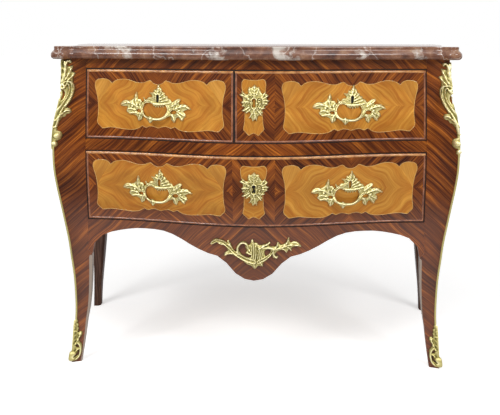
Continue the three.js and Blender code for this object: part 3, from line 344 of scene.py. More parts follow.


# Pale grey for the front legs' inward faces and inner-edge strips: painted reflection of the white
# surroundings
legReturnReflection = lineMaterial("leg_return_painted_reflection", "#7b7068", "#a5998e", 0.42, coat=0.2)
boxwoodLine = lineMaterial("boxwood_stringing_scraped", "#b5823c", "#d8b064", 0.4)
topBeadWood = lineMaterial("tulipwood_crossbanded_bead_polished", "#8d5223", "#d09450", 0.24)
edgeBeadWood = lineMaterial("rosewood_edge_bead_polished", "#5e301f", "#a0643f", 0.26)
# A near-dark band round each drawer front and on the sheet's edges: painted shadow of the gap
gapShadowRim = lineMaterial("front_rim_painted_shadow", "#0d0705", "#24140d", 0.6, coat=0)


# Polished breccia: red-brown grounds, grey-white patches and thin pale veins, under a hard polish
stone = {
    "driftSize": 120,
    "driftShare": 0.09,
    "cloudSize": 28,
    "clouds": [(0.3, "#3f2218"), (0.72, "#98775b"), (0.44, "#613a27"), (0.57, "#7b533c")],
    "patchSize": 75,
    "patchEdge": (0.57, 0.66),
    "patchTone": "#b7aea4",
    "crackSize": 115,
    "crackWidth": (0.0, 0.016),
    "crackFade": (0.62, 0.0),
    "veinTone": "#eee6dc",
    "gloss": (0.12, 0.26),
}


def marbleMaterial():
    material, tree, shader = startMaterial(
        "red_breccia_marble_polished", Specular_IOR_Level=0.4, Coat_Weight=0.25, Coat_Roughness=0.06
    )
    place = objectPlace(tree)
    drift = noise(tree, place, stone["driftSize"], 5.0, Roughness=0.6).outputs["Color"]
    bent = addNode(
        tree, "ShaderNodeMix", {"data_type": "VECTOR"}, {"Factor": stone["driftShare"], 4: place, 5: drift}
    ).outputs[1]
    clouds = noise(tree, bent, stone["cloudSize"], 6.0, Roughness=0.65).outputs["Fac"]
    patches = noise(tree, bent, stone["patchSize"], 7.0, Roughness=0.62).outputs["Fac"]
    patched = ranged(tree, patches, stone["patchEdge"], (0, 1))
    ground = blended(tree, patched, coloured(tree, clouds, stone["clouds"]), tone(stone["patchTone"]))
    inputs = {"Vector": bent, "Scale": 1 / (stone["crackSize"] * mm)}
    cracks = addNode(tree, "ShaderNodeTexVoronoi", {"feature": "DISTANCE_TO_EDGE"}, inputs)
    cracked = ranged(tree, cracks.outputs["Distance"], stone["crackWidth"], stone["crackFade"])
    # The veins fade where the clouds are dark
    veins = maths(tree, "MULTIPLY", cracked, clouds, clamp=True)
    veined = blended(tree, veins, ground, tone(stone["veinTone"]))
    dress(tree, shader, veined, ranged(tree, clouds, (0, 1), stone["gloss"]), (veins, 0.1, 0.2))
    return material


marble = marbleMaterial()


# Fire-gilt cast bronze: burnished crests and matt hollows, with the hollows and the outline darkened to
# olive as painted shade
gilding = {
    "gritSize": 1.6,
    "gritShare": 0.3,
    # The dark olive stops low in the ramp are painted shade for hollows and outlines
    "stops": [(0.25, "#575026"), (1.0, "#e9e1b4"), (0.5, "#a0965c"), (0.76, "#cbc187")],
    "burnished": (0.2, 1.0),
    "gloss": (0.62, 0.46),
}


def bronzeMaterial():
    material, tree, shader = startMaterial("gilt_bronze_cast_and_chased", Metallic=1.0, Roughness=0.35)
    grit = noise(tree, objectPlace(tree), gilding["gritSize"]).outputs["Fac"]
    burnishAndShade = maths(tree, "MULTIPLY_ADD", grit, gilding["gritShare"], readAttribute(tree, "relief"))
    gloss = ranged(tree, burnishAndShade, gilding["burnished"], gilding["gloss"])
    dress(tree, shader, coloured(tree, burnishAndShade, gilding["stops"]), gloss, (grit, 0.35, 0.2))
    return material


bronze = bronzeMaterial()


# Sawn and planed oak, unpolished: long open grain along one axis
oak = {"along": 220, "across": 9, "stops": [(0.3, "#6d4a2a"), (0.7, "#b8925f"), (0.5, "#977044")]}


def oakMaterial(name, along):
    material, tree, shader = startMaterial(name, Roughness=0.72)
    sizes = [oak["along"] if axis == along else oak["across"] for axis in "xyz"]
    grain = stretchedNoise(tree, objectPlace(tree), sizes, 6.0, Distortion=0.4)
    gloss = ranged(tree, grain, (0, 1), (0.6, 0.85))
    dress(tree, shader, coloured(tree, grain, oak["stops"]), gloss, (grain, 0.5, 0.6))
    return material


oaks = {axis: oakMaterial("oak_planed_along_" + axis, axis) for axis in "xyz"}


# Forged and filed iron: dark scale, brighter where the file went
def ironMaterial():
    material, tree, shader = startMaterial("iron_forged_and_filed", Metallic=1.0, Roughness=0.5)
    marks = noise(tree, objectPlace(tree), 6, 5.0).outputs["Fac"]
    colour = coloured(tree, marks, [(0.35, "#4a4440"), (0.65, "#8b8681")])
    dress(tree, shader, colour, ranged(tree, marks, (0, 1), (0.38, 0.68)), (marks, 0.4, 0.3))
    return material


iron = ironMaterial()


# Near-dark mottled colour for the keyhole patches: painted shade
def keyholeShadeMaterial():
    material, tree, shader = startMaterial("keyhole_painted_shade", Roughness=0.8)
    shadeMottle = noise(tree, objectPlace(tree), 3).outputs["Fac"]
    dress(tree, shader, coloured(tree, shadeMottle, [(0.3, "#0a0807"), (0.7, "#191412")]))
    return material


keyholeShade = keyholeShadeMaterial()
print("materials made")


# Meshes
def settle(name, mesh, body, replaced):
    piece = bpy.data.objects.new(name, mesh)
    bpy.context.scene.collection.objects.link(piece)
    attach(piece, body)
    if replaced:
        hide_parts(*replaced)


def readCorners(mesh):
    count = len(mesh.loops)
    index = np.empty(count, np.int64)
    mesh.loops.foreach_get("vertex_index", index)
    points = np.empty(len(mesh.vertices) * 3)
    mesh.vertices.foreach_get("co", points)
    points = points.reshape(-1, 3) / mm
    normals = np.empty(len(mesh.polygons) * 3)
    mesh.polygons.foreach_get("normal", normals)
    sizes = np.empty(len(mesh.polygons), np.int64)
    mesh.polygons.foreach_get("loop_total", sizes)
    return points, index, np.repeat(normals.reshape(-1, 3), sizes, axis=0)


# Distances of points from the true front and side, in mm
def offFront(p):
    return np.abs(p[:, 1] - frontAt(p[:, 0], p[:, 2]))


def offSide(p):
    return np.abs(np.abs(p[:, 0]) - sideAt(p[:, 1], p[:, 2]))


# How near a point has to be, in mm, to count as on the surface for its grain, its shape and its shading,
# and how far a face has to be turned towards it
show = {
    "grainNear": 0.1,
    "shapeNear": 0.06,
    "shadeNear": 0.08,
    "forwards": -0.2,
    "inwards": 0.6,
    "alike": 0.9,
}


def facesForwards(p, normals):
    return (offFront(p) < show["grainNear"]) & (normals[:, 1] < show["forwards"])


# The grain map: u runs along the leaf and v across it, in metres. Fronts read x and z, sides y and z.
def writeGrain(mesh, angle, shift):
    points, index, normals = readCorners(mesh)
    p = points[index]
    facing = np.argmax(np.abs(normals), axis=1)
    facing[facesForwards(p, normals)] = 1
    a = np.where(facing == 0, p[:, 1], np.abs(p[:, 0]))
    b = np.where(facing == 2, p[:, 1], p[:, 2])
    turn = math.radians(angle)
    u = a * math.cos(turn) - b * math.sin(turn)
    v = a * math.sin(turn) + b * math.cos(turn)
    layer = mesh.uv_layers.new(name="grain")
    grain = np.stack([u * mm + shift[0], v * mm + shift[1]], -1)
    layer.data.foreach_set("uv", grain.ravel())


# How far each front corner lies inside the strip of painted reflection along a leg's inner edge, in mm,
# negative outside it
def writeReflectionStrip(mesh, widths):
    points, index, normals = readCorners(mesh)
    p = points[index]
    onFront = facesForwards(p, normals)
    inward = (normals[:, 0] * np.sign(p[:, 0]) < -show["inwards"]) & (p[:, 2] < case["apronTop"])
    edge = points[np.intersect1d(index[onFront], index[inward])]
    # The bead's groove at the outer corner has inward faces too
    beadReach = 15
    edge = edge[np.abs(edge[:, 0]) < cornerOut(edge[:, 2]) - beadReach]
    edge = edge[np.argsort(edge[:, 2])]
    inset = np.abs(p[:, 0]) - np.interp(p[:, 2], edge[:, 2], np.abs(edge[:, 0]))
    heights, reach = zip(*widths)
    depth = np.minimum(np.interp(p[:, 2], heights, reach) - inset, heights[-1] - p[:, 2])
    layer = mesh.attributes.new("paintedReflectionStrip", "FLOAT", "CORNER")
    layer.data.foreach_set("value", np.where(onFront, depth, 0))


# A finer copy of a solid whose show faces follow the true double curve
def finerCopy(node, levels):
    weld = 0.002 * mm
    bm = bmesh.new()
    bm.from_mesh(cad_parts[node].data)
    bmesh.ops.remove_doubles(bm, verts=bm.verts, dist=weld)
    onFront = bm.verts.layers.float.new("onFront")
    onSide = bm.verts.layers.float.new("onSide")

    def spots():
        return np.array([v.co for v in bm.verts]) / mm

    p = spots()
    front, side = offFront(p) < show["shapeNear"], offSide(p) < show["shapeNear"]
    for vertex, isFront, isSide in zip(bm.verts, front, side):
        vertex[onFront] = float(isFront)
        vertex[onSide] = float(isSide)
    # A new point follows the surface only if all the points that it comes from did
    whole = 0.99
    for _ in range(levels):
        bmesh.ops.subdivide_edges(bm, edges=bm.edges[:], cuts=1, use_grid_fill=True)
        p = spots()
        y, x = frontAt(p[:, 0], p[:, 2]), sideAt(p[:, 1], p[:, 2])
        for i, vertex in enumerate(bm.verts):
            if vertex[onFront] > whole:
                vertex.co.y = y[i] * mm
            elif vertex[onSide] > whole:
                vertex.co.x = math.copysign(x[i] * mm, vertex.co.x)
    bmesh.ops.triangulate(bm, faces=bm.faces[:])
    mesh = bpy.data.meshes.new(node + "_finer")
    bm.to_mesh(mesh)
    bm.free()
    smoothShow(mesh)
    return mesh


# Show faces take the true surface's normals, and all others stay flat
def smoothShow(mesh):
    points, index, normals = readCorners(mesh)
    p = points[index]
    front = frontNormal(p[:, 0], p[:, 2])
    side = sideNormal(p[:, 1], p[:, 2])
    side[:, 0] *= np.sign(p[:, 0])
    onFront = (offFront(p) < show["shadeNear"]) & ((front * normals).sum(1) > show["alike"])
    onSide = (offSide(p) < show["shadeNear"]) & ((side * normals).sum(1) > show["alike"])
    normals = np.where(onFront[:, None], front, np.where(onSide[:, None], side, normals))
    mesh.shade_smooth()
    mesh.normals_split_custom_set(normals.tolist())


# Case woodwork: the angle of the grain, the place in the veneer and the material
woodwork = {
    "right_front_leg": (38, (0.0, 0.0), kingwood),
    "left_front_leg": (38, (0.13, 0.31), kingwood),
    "right_side_panel": (50, (0.4, 0.2), kingwood),
    "left_side_panel": (50, (0.7, 0.5), kingwood),
    "top_rail": (40, (1.1, 0.05), kingwood),
    "middle_rail": (40, (1.5, 0.35), kingwood),
    "front_apron": (44, (1.9, 0.6), kingwood),
    "right_rear_leg": (90, (2.2, 0.1), rearWood),
    "left_rear_leg": (90, (2.5, 0.4), rearWood),
}
# Heights and widths of the legs' strips of painted reflection, which end under the knee.
# The photograph shows the right one narrower.
reflectionStrips = {
    "left_front_leg": [(0, 3), (90, 4), (285, 9), (297, 9)],
    "right_front_leg": [(110, -0.5), (180, 3), (285, 6), (297, 6)],
}
for node, (angle, shift, material) in woodwork.items():
    mesh = finerCopy(node, 2)
    writeGrain(mesh, angle, shift)
    mesh.materials.clear()
    mesh.materials.append(material)
    if node in reflectionStrips:
        writeReflectionStrip(mesh, reflectionStrips[node])
        # The legs' inward faces, 1 mm or more behind the front, take the pale grey of painted reflection
        # instead of veneer
        mesh.materials.append(legReturnReflection)
        for face in mesh.polygons:
            x, y, z = face.center / mm
            inward = face.normal.x * (1 if node.startswith("left") else -1)
            reflected = inward > show["inwards"] and z < case["apronTop"] and y > frontAt(x, z) + 1
            face.material_index = int(reflected)
    slot = "dark_veneer" if material is rearWood else "veneer"
    settle(node + "_veneered", mesh, "carcass", [node])
print("case woodwork made")

# Marble top
slab = {
    "floor": 837,
    "thickness": 33,
    "back": 288.5,
    "halfWidth": 560,
    "frontOverhang": 25,
    "lobeRadius": 23,
    "lobeOut": 6,
    "lobeStart": -0.75,
    "inset": 10,
    "edge": [
        (0, 0.6), (0.12, 0.1), (0.3, 0), (0.47, 0.1), (0.6, 0.42), (0.7, 0.8), (0.85, 0.88),
        (0.97, 0.88), (1, 1),
    ],
    "edgeRows": 22,
    "frontSteps": 90,
    "lobeSteps": 26,
    "sideSteps": 26,
    "sharpAngle": 50,
}


def slabOutline(inset):
    head = case["height"]
    radius = slab["lobeRadius"] - inset
    lobe = (cornerOut(head) + slab["lobeOut"], cornerForward(head) - slab["lobeOut"])
    notch = lobe[0] - slab["lobeRadius"]
    x = notch * np.linspace(0, 1, slab["frontSteps"] + 1)
    rows = [np.stack([x, frontAt(x, head) - slab["frontOverhang"] + inset], -1)]
    angle = np.pi * (np.linspace(0, 1, slab["lobeSteps"] + 1) + slab["lobeStart"])
    rows.append(np.stack([lobe[0] + radius * np.cos(angle), lobe[1] + radius * np.sin(angle)], -1))
    share = np.linspace(0, 1, slab["sideSteps"] + 1)
    start = lobe[1] + slab["lobeRadius"]
    y = start + (slab["back"] - start) * share
    rear = case["rearHalfWidth"] * readShares(case["rear"], 1)
    overhang = slab["lobeRadius"] / 2 * (1 - share) + (slab["halfWidth"] - rear) * share
    rows.append(np.stack([sideAt(np.minimum(y, case["back"]), head) + overhang - inset, y], -1))
    half = np.concatenate(rows)
    return np.concatenate([half, half[:0:-1] * (-1, 1)])


def makeSlab():
    rings = []
    for share in np.linspace(0, 1, slab["edgeRows"] + 1):
        inset = slab["inset"] * float(readShares(slab["edge"], share))
        ring = slabOutline(min(max(inset, 0), slab["inset"]))
        height = np.full((len(ring), 1), slab["floor"] + slab["thickness"] * share)
        rings.append(np.concatenate([ring, height], 1))
    size = len(rings[0])
    faces = []
    for r in range(len(rings) - 1):
        for i in range(size):
            a, b = r * size + i, r * size + (i + 1) % size
            faces.append((a, b, b + size, a + size))
    last = (len(rings) - 1) * size
    faces.append(tuple(range(size - 1, -1, -1)))
    faces.append(tuple(last + i for i in range(size)))
    mesh = bpy.data.meshes.new("marble_slab")
    mesh.from_pydata((np.concatenate(rings) * mm).tolist(), [], faces)
    mesh.materials.append(marble)
    mesh.shade_smooth()
    mesh.set_sharp_from_angle(angle=math.radians(slab["sharpAngle"]))
    return mesh


settle("marble_slab", makeSlab(), "carcass", ["marble_top"])
print("marble made")


# Beads and lines that follow a path: one tree sweeps a round section along a drawn line
def pathTree():
    tree = bpy.data.node_groups.new("beadAlongPath", "GeometryNodeTree")
    tree.interface.new_socket("Geometry", in_out="INPUT", socket_type="NodeSocketGeometry")
    for name, kind in (("Radius", "Float"), ("Sides", "Int"), ("Material", "Material")):
        tree.interface.new_socket(name, in_out="INPUT", socket_type="NodeSocket" + kind)
    tree.interface.new_socket("Geometry", in_out="OUTPUT", socket_type="NodeSocketGeometry")
    given = addNode(tree, "NodeGroupInput")
    path = addNode(tree, "GeometryNodeMeshToCurve", inputs={"Mesh": given.outputs["Geometry"]})
    section = addNode(
        tree,
        "GeometryNodeCurvePrimitiveCircle",
        inputs={"Resolution": given.outputs["Sides"], "Radius": given.outputs["Radius"]},
    )
    swept = addNode(
        tree,
        "GeometryNodeCurveToMesh",
        inputs={"Curve": path.outputs[0], "Profile Curve": section.outputs[0], "Fill Caps": True},
    )
    whole = addNode(tree, "GeometryNodeRealizeInstances", inputs={"Geometry": swept.outputs[0]})
    finish = addNode(
        tree,
        "GeometryNodeSetMaterial",
        inputs={"Geometry": whole.outputs[0], "Material": given.outputs["Material"]},
    )
    addNode(tree, "NodeGroupOutput", inputs={"Geometry": finish.outputs[0]})
    return tree


beadTree = pathTree()


# lines: lists of points in mm, each with whether it closes
def sweptLines(name, lines, radius, sides, material):
    points, edges = [], []
    for line, closed in lines:
        start = len(points)
        points += [tuple(float(c) * mm for c in p) for p in line]
        edges += [(start + i, start + i + 1) for i in range(len(line) - 1)]
        if closed:
            edges.append((start + len(line) - 1, start))
    mesh = bpy.data.meshes.new(name + "_lines")
    mesh.from_pydata(points, edges, [])
    holder = bpy.data.objects.new(name + "_path", mesh)
    bpy.context.scene.collection.objects.link(holder)
    modifier = holder.modifiers.new("tree", "NODES")
    modifier.node_group = beadTree
    values = {"Radius": radius * mm, "Sides": sides, "Material": material}
    for item in beadTree.interface.items_tree:
        if item.in_out == "INPUT" and item.name in values:
            modifier[item.identifier] = values[item.name]
    holder.update_tag()
    depsgraph = bpy.context.evaluated_depsgraph_get()
    result = bpy.data.meshes.new_from_object(holder.evaluated_get(depsgraph))
    bpy.data.objects.remove(holder)
    result.shade_smooth()
    return result


# A smooth line through few points
def curveThrough(points, steps, closed=False):
    p = np.asarray(points, float)
    count = len(p)
    before = lambda i: p[(i - 1) % count] if closed else p[max(i - 1, 0)]
    after = lambda i: p[(i + 1) % count] if closed else p[min(i + 1, count - 1)]
    line = []
    for i in range(count if closed else count - 1):
        a, b = p[i], p[(i + 1) % count]
        leave, arrive = (after(i) - before(i)) / 2, (after((i + 1) % count) - before((i + 1) % count)) / 2
        for t in np.arange(steps) / steps:
            line.append(
                (2 * t**3 - 3 * t**2 + 1) * a
                + (t**3 - 2 * t**2 + t) * leave
                + (-2 * t**3 + 3 * t**2) * b
                + (t**3 - t**2) * arrive
            )
    if not closed:
        line.append(p[-1])
    return np.array(line)


# Drawer fronts: a veneer sheet with its cartouches, stringing and edge beads.
# The shifts are places in the veneer, in metres of the grain map.
sheet = {
    "proud": 0.8,
    "sunk": 1.6,
    "gap": 1.2,
    "spacing": 11,
    "rowShare": 0.87,
    "edgeSpacing": 6,
    "lineSpacing": 3.5,
    "endPoints": 20,
    "earPoints": 14,
    "merge": 0.02,
    # rim: the width of the dark band painted round each front as the shadow of the gap
    "rim": 2,
    "lineRadius": 0.7,
    "lineSunk": 0.3,
    "topBeadRadius": 3.9,
    "edgeBeadRadius": 2.6,
    "beadSunk": 1.2,
    "beadPoints": (30, 100, 110),
    "lineSides": 8,
    "edgeBeadSides": 12,
    "topBeadSides": 16,
    "leafShift": [(0.004, 0.003), (0.006, -0.004)],
    "groundTurn": 45,
    "groundShift": (0.6, 0.2),
    "panelShift": 0.11,
    "earShift": (0.37, 0.21),
}
# Half a cartouche from the middle of its foot round its end to the middle of its head.
# Shares of its half width, then millimetres above its foot or below its head.
largeCartouche = {
    "foot": [
        (0, 4.5), (0.05, 7), (0.11, 9), (0.16, 7), (0.2, 4.5), (0.25, 9), (0.29, 5), (0.33, 1.2),
        (0.39, -1.2), (0.45, -2), (0.54, -1), (0.63, 0.6), (0.7, 2.4), (0.77, 3), (0.83, 1.6),
        (0.895, 0), (0.93, 6), (0.965, 12), (0.975, 20), (0.962, 33), (0.953, 50),
    ],
    "head": [
        (0.955, 62), (0.97, 42), (0.99, 28), (1, 17), (0.99, 8), (0.96, 2.5), (0.9, 0), (0.84, 0),
        (0.79, 2.5), (0.757, 6.5), (0.73, 11.6), (0.69, 6), (0.645, 2.6), (0.597, 0.8), (0.54, 0.2),
        (0.484, 1.2), (0.41, 4.4), (0.334, 8.4), (0.25, 9.4), (0.2, 7.6), (0.125, 2.8), (0.09, 7.4),
        (0.053, 11.4), (0, 13),
    ],
}
smallCartouche = {
    "foot": [
        (0, 6), (0.2, 3.4), (0.4, 0), (0.52, 3.6), (0.68, 9), (0.86, 15.5), (0.8, 24), (0.75, 38),
    ],
    "head": [
        (0.73, 76), (0.78, 56), (0.88, 38), (0.97, 24), (1, 12), (0.94, 4), (0.76, 0), (0.5, 1.4),
        (0.25, 2.2), (0, 2.4),
    ],
}


# place: left end, middle and right end, then foot and head
def cartoucheLine(shape, place):
    x0, middle, x1, foot, head = place
    half = [(share, foot + rise) for share, rise in shape["foot"]]
    half += [(share, head - drop) for share, drop in shape["head"]]
    right = [(middle + share * (x1 - middle), z) for share, z in half]
    left = [(middle - share * (middle - x0), z) for share, z in reversed(half) if share > 0]
    return np.array(right + left)


def resampled(line, spacing):
    ring = np.concatenate([line, line[:1]])
    result = []
    for a, b in zip(ring[:-1], ring[1:]):
        count = max(1, int(round(np.linalg.norm(b - a) / spacing)))
        result += [a + (b - a) * k / count for k in range(count)]
    return np.array(result)


def inside(polygon, points):
    x, z = points[:, 0], points[:, 1]
    result = np.zeros(len(points), bool)
    for (x0, z0), (x1, z1) in zip(polygon, np.roll(polygon, -1, axis=0)):
        crosses = (z0 > z) != (z1 > z)
        with np.errstate(divide="ignore", invalid="ignore"):
            at = (x1 - x0) * (z - z0) / (z1 - z0) + x0
        result ^= crosses & (x < at)
    return result


def frontBorder(plan, inset):
    edge = sheet["gap"] + inset
    z = np.linspace(plan["foot"] + edge, plan["head"] - edge, sheet["endPoints"])
    left, right = plan["left"](z) + inset, plan["right"](z) - inset
    ring = np.concatenate([np.stack([right, z], -1), np.stack([left[::-1], z[::-1]], -1)])
    return resampled(ring, sheet["edgeSpacing"])


# Walls that join a sheet's open edges to its back, whose points come after the count of points in front
def wallsRound(faces, count):
    directed = {(f[k], f[(k + 1) % 3]) for f in faces for k in range(3)}
    return [(j, i, i + count, j + count) for i, j in sorted(directed) if (j, i) not in directed]


# The upper ends of each large panel are let in as separate ears, from the notch down to the waist
ear = {"notch": 0.73, "waist": 0.955, "bend": 0.8, "notchDrop": 11.6, "grainTurn": -62}


def earStart(rise):
    return ear["notch"] + (ear["waist"] - ear["notch"]) * (1 - rise) ** ear["bend"]


# All lines that the sheet's triangles keep to: border, rim, cartouches, folds and the edges of the ears
def sheetLines(plan, rings):
    points, edges = [], []
    for line in rings:
        start = len(points)
        points += line.tolist()
        edges += [(start + i, start + (i + 1) % len(line)) for i in range(len(line))]
    # The quarters of each panel meet at the folds
    cuts = [np.linspace(*fold, 2 + int(math.dist(*fold) / sheet["edgeSpacing"])) for fold in plan["folds"]]
    rise = np.linspace(0, 1, sheet["earPoints"])
    for shape, (x0, middleX, x1, foot, head), _, _ in plan["cartouches"]:
        if shape is largeCartouche:
            up = (foot + head) / 2 + rise * ((head - foot) / 2 - ear["notchDrop"])
            cuts += [np.stack([middleX + earStart(rise) * (end - middleX), up], -1) for end in (x0, x1)]
    for cut in cuts:
        start = len(points)
        points += cut.tolist()
        edges += [(start + k, start + k + 1) for k in range(len(cut) - 1)]
    return points, edges


def makeSheet(drawer, plan):
    border, rim = frontBorder(plan, 0), frontBorder(plan, sheet["rim"])
    outlines = [curveThrough(cartoucheLine(*one[:2]), 2, closed=True) for one in plan["cartouches"]]
    outlines = [resampled(line, sheet["lineSpacing"]) for line in outlines]
    points, edges = sheetLines(plan, [border, rim] + outlines)
    # A grid fills the sheet between the foot and the head of its last cartouche.
    # Above and below it the lines have points enough.
    *_, foot, head = plan["cartouches"][-1][1]
    half, left, right = sheet["spacing"] / 2, border[:, 0].min(), border[:, 0].max()
    for row, height in enumerate(np.arange(foot + half, head, sheet["spacing"] * sheet["rowShare"])):
        for across in np.arange(left + half * (row % 2 + 1), right, sheet["spacing"]):
            points.append((float(across), float(height)))
    found = delaunay_2d_cdt([Vector(p) for p in points], edges, [], 0, sheet["merge"], False)
    flat = np.array([tuple(v) for v in found[0]])
    triangles = np.array([f for f in found[2] if len(f) == 3])
    centres = flat[triangles].mean(axis=1)
    keep = inside(border, centres)
    triangles, centres = triangles[keep], centres[keep]
    a, b, c = (flat[triangles[:, k]] for k in range(3))
    area = (b[:, 0] - a[:, 0]) * (c[:, 1] - a[:, 1]) - (b[:, 1] - a[:, 1]) * (c[:, 0] - a[:, 0])
    triangles[area < 0] = triangles[area < 0][:, ::-1]
    used, inverse = np.unique(triangles, return_inverse=True)
    triangles = inverse.reshape(triangles.shape)
    flat = flat[used]
    count = len(flat)
    y = frontAt(flat[:, 0], flat[:, 1])
    face = np.stack([flat[:, 0], y - sheet["proud"], flat[:, 1]], -1)
    rear = np.stack([flat[:, 0], y + sheet["sunk"], flat[:, 1]], -1)
    zones = classify(plan, rim, outlines, centres)
    triangles = triangles.tolist()
    walls = wallsRound(triangles, count)
    faces = triangles + [[i + count for i in t[::-1]] for t in triangles] + walls
    # The sheet's edge walls take the painted shadow too
    materials = [zone[0] for zone in zones] + [0] * len(triangles) + [3] * len(walls)
    mesh = bpy.data.meshes.new(drawer + "_veneer")
    mesh.from_pydata((np.concatenate([face, rear]) * mm).tolist(), [], faces)
    for material in (kingwood, panelWood, earWood, gapShadowRim):
        mesh.materials.append(material)
    mesh.polygons.foreach_set("material_index", materials)
    # The grain map, quarter by quarter
    layer = mesh.uv_layers.new(name="grain")
    grain = np.zeros((len(mesh.loops), 2))
    corners = flat[np.ravel(triangles)]
    turn = np.repeat([zone[1] for zone in zones], 3)
    middle = np.repeat([zone[2] for zone in zones], 3, axis=0)
    shift = np.repeat([zone[3] for zone in zones], 3, axis=0)
    d = np.abs(corners - middle)
    # Neighbouring quarters are cut from following leaves, so they match nearly but not quite
    quarter = np.repeat(centres, 3, axis=0) > middle
    shift = shift + quarter @ np.array(sheet["leafShift"])
    u = d[:, 0] * np.cos(turn) + d[:, 1] * np.sin(turn)
    v = -d[:, 0] * np.sin(turn) + d[:, 1] * np.cos(turn)
    grain[: len(u)] = np.stack([u * mm, v * mm], -1) + shift
    layer.data.foreach_set("uv", grain.ravel())
    points3, index, normals = readCorners(mesh)
    shown = frontNormal(points3[index][:, 0], points3[index][:, 2])
    normals = np.where(np.arange(len(index))[:, None] < len(u), shown, normals)
    mesh.shade_smooth()
    mesh.normals_split_custom_set(normals.tolist())
    settle(drawer + "_front_veneer", mesh, drawer, ())
    return outlines


# Each triangle's material, grain angle, quarter's centre and place in the veneer.
# The materials are 0 ground, 1 panel, 2 ear and 3 the dark rim, painted shadow round the front.
def classify(plan, rim, outlines, centres):
    zones = []
    inCartouche = [inside(line, centres) for line in outlines]
    inRim = inside(rim, centres)
    for i, (x, z) in enumerate(centres):
        beyond = [max(panel[0] - x, x - panel[2]) for panel in plan["panels"]]
        k = beyond.index(min(beyond))
        _, middleX, _, middleZ = plan["panels"][k]
        held = [n for n, mask in enumerate(inCartouche) if mask[i]]
        # Outside the rim the sheet takes the painted shadow
        if not inRim[i]:
            zones.append((3, 0, (0, 0), (0, 0)))
        elif held:
            shape, (c0, middleX, c1, foot, head), grainTurn, place = plan["cartouches"][held[0]]
            half = c1 - middleX if x > middleX else middleX - c0
            middleZ = (foot + head) / 2
            share, rise = abs(x - middleX) / half, (z - middleZ) / ((head - foot) / 2 - ear["notchDrop"])
            if shape is largeCartouche and rise > 0 and share > earStart(min(rise, 1)):
                shift = (place + sheet["earShift"][0], sheet["earShift"][1])
                zones.append((2, math.radians(ear["grainTurn"]), (middleX, middleZ), shift))
            else:
                shift = (place, sheet["panelShift"] * (held[0] + 1))
                zones.append((1, math.radians(grainTurn), (middleX, middleZ), shift))
        else:
            shift = (sheet["groundShift"][0] * k + plan["place"], sheet["groundShift"][1] * k)
            zones.append((0, math.radians(sheet["groundTurn"]), (middleX, middleZ), shift))
    return zones


seam = -50
freeEnd = lambda z: openingHalf(z) - sheet["gap"]
drawers = {
    "upper_left_drawer": {
        "foot": 626,
        "head": 813,
        "left": lambda z: -freeEnd(z),
        "right": lambda z: np.full_like(z, seam - sheet["gap"] / 2),
        "panels": [(-450, -251.5, seam, 720)],
        "cartouches": [(largeCartouche, (-423, -251.5, -72, 655, 785), -40, 3.0)],
        "folds": [[(-251.5, 627), (-251.5, 812)], [(-446, 720), (-52, 720)]],
        "place": 5.0,
    },
    "upper_right_drawer": {
        "foot": 626,
        "head": 813,
        "left": lambda z: np.full_like(z, seam + sheet["gap"] / 2),
        "right": freeEnd,
        "panels": [(seam, 0, 53, 718), (53, 251.5, 450, 718)],
        "cartouches": [
            (smallCartouche, (-30.5, 0, 30.5, 648, 789), -55, 3.6),
            (largeCartouche, (71, 251.5, 424.5, 652, 783.5), -40, 4.1),
        ],
        "folds": [
            [(0, 627), (0, 812)],
            [(53, 627), (53, 812)],
            [(251.5, 627), (251.5, 812)],
            [(-49, 718), (446, 718)],
        ],
        "place": 6.3,
    },
    "lower_drawer": {
        "foot": 399,
        "head": 596,
        "left": lambda z: -freeEnd(z),
        "right": freeEnd,
        "panels": [(-460, -251.5, -55, 499), (-55, 0, 55, 499), (55, 252, 460, 499)],
        "cartouches": [
            (largeCartouche, (-435, -251.5, -71, 429, 570), -40, 4.7),
            (smallCartouche, (-33.5, 0, 33.5, 423.5, 569.5), -55, 5.3),
            (largeCartouche, (73.6, 252, 430.7, 425, 570), -40, 5.8),
        ],
        "folds": [
            [(-251.5, 401), (-251.5, 594)],
            [(-55, 401), (-55, 594)],
            [(0, 401), (0, 594)],
            [(55, 401), (55, 594)],
            [(252, 401), (252, 594)],
            [(-459, 499), (459, 499)],
        ],
        "place": 7.9,
    },
}


def onFront(line, forward):
    line = np.asarray(line, float)
    return np.stack([line[:, 0], frontAt(line[:, 0], line[:, 1]) - forward, line[:, 1]], -1)


for drawer, plan in drawers.items():
    outlines = makeSheet(drawer, plan)
    depth = sheet["proud"] - sheet["lineSunk"]
    rings = [(onFront(line, depth), True) for line in outlines]
    mesh = sweptLines(drawer + "_stringing", rings, sheet["lineRadius"], sheet["lineSides"], boxwoodLine)
    settle(drawer + "_stringing", mesh, drawer, ())
    # Half-round beads stand just inside the dark rim of painted shadow
    thin, thick = sheet["edgeBeadRadius"], sheet["topBeadRadius"]
    edge = sheet["gap"] + sheet["rim"]
    foot, head = plan["foot"] + edge + thin, plan["head"] - edge - thick
    endPoints, footPoints, headPoints = sheet["beadPoints"]
    z = np.linspace(foot, head, endPoints)
    left, right = plan["left"](z) + sheet["rim"] + thin, plan["right"](z) - sheet["rim"] - thin
    bottom = np.linspace(left[0], right[0], footPoints)[1:-1]
    around = np.concatenate(
        [
            np.stack([left[::-1], z[::-1]], -1),
            np.stack([bottom, np.full_like(bottom, foot)], -1),
            np.stack([right, z], -1),
        ]
    )
    line = onFront(around, sheet["proud"] - sheet["beadSunk"])
    mesh = sweptLines(drawer + "_edge_bead", [(line, False)], thin, sheet["edgeBeadSides"], edgeBeadWood)
    settle(drawer + "_edge_bead", mesh, drawer, ())
    top = np.linspace(left[-1] - thin, right[-1] + thin, headPoints)
    line = onFront(np.stack([top, np.full_like(top, head)], -1), sheet["proud"] - 2 * sheet["beadSunk"])
    mesh = sweptLines(drawer + "_top_bead", [(line, False)], thick, sheet["topBeadSides"], topBeadWood)
    settle(drawer + "_top_bead", mesh, drawer, ())
print("drawer fronts made")


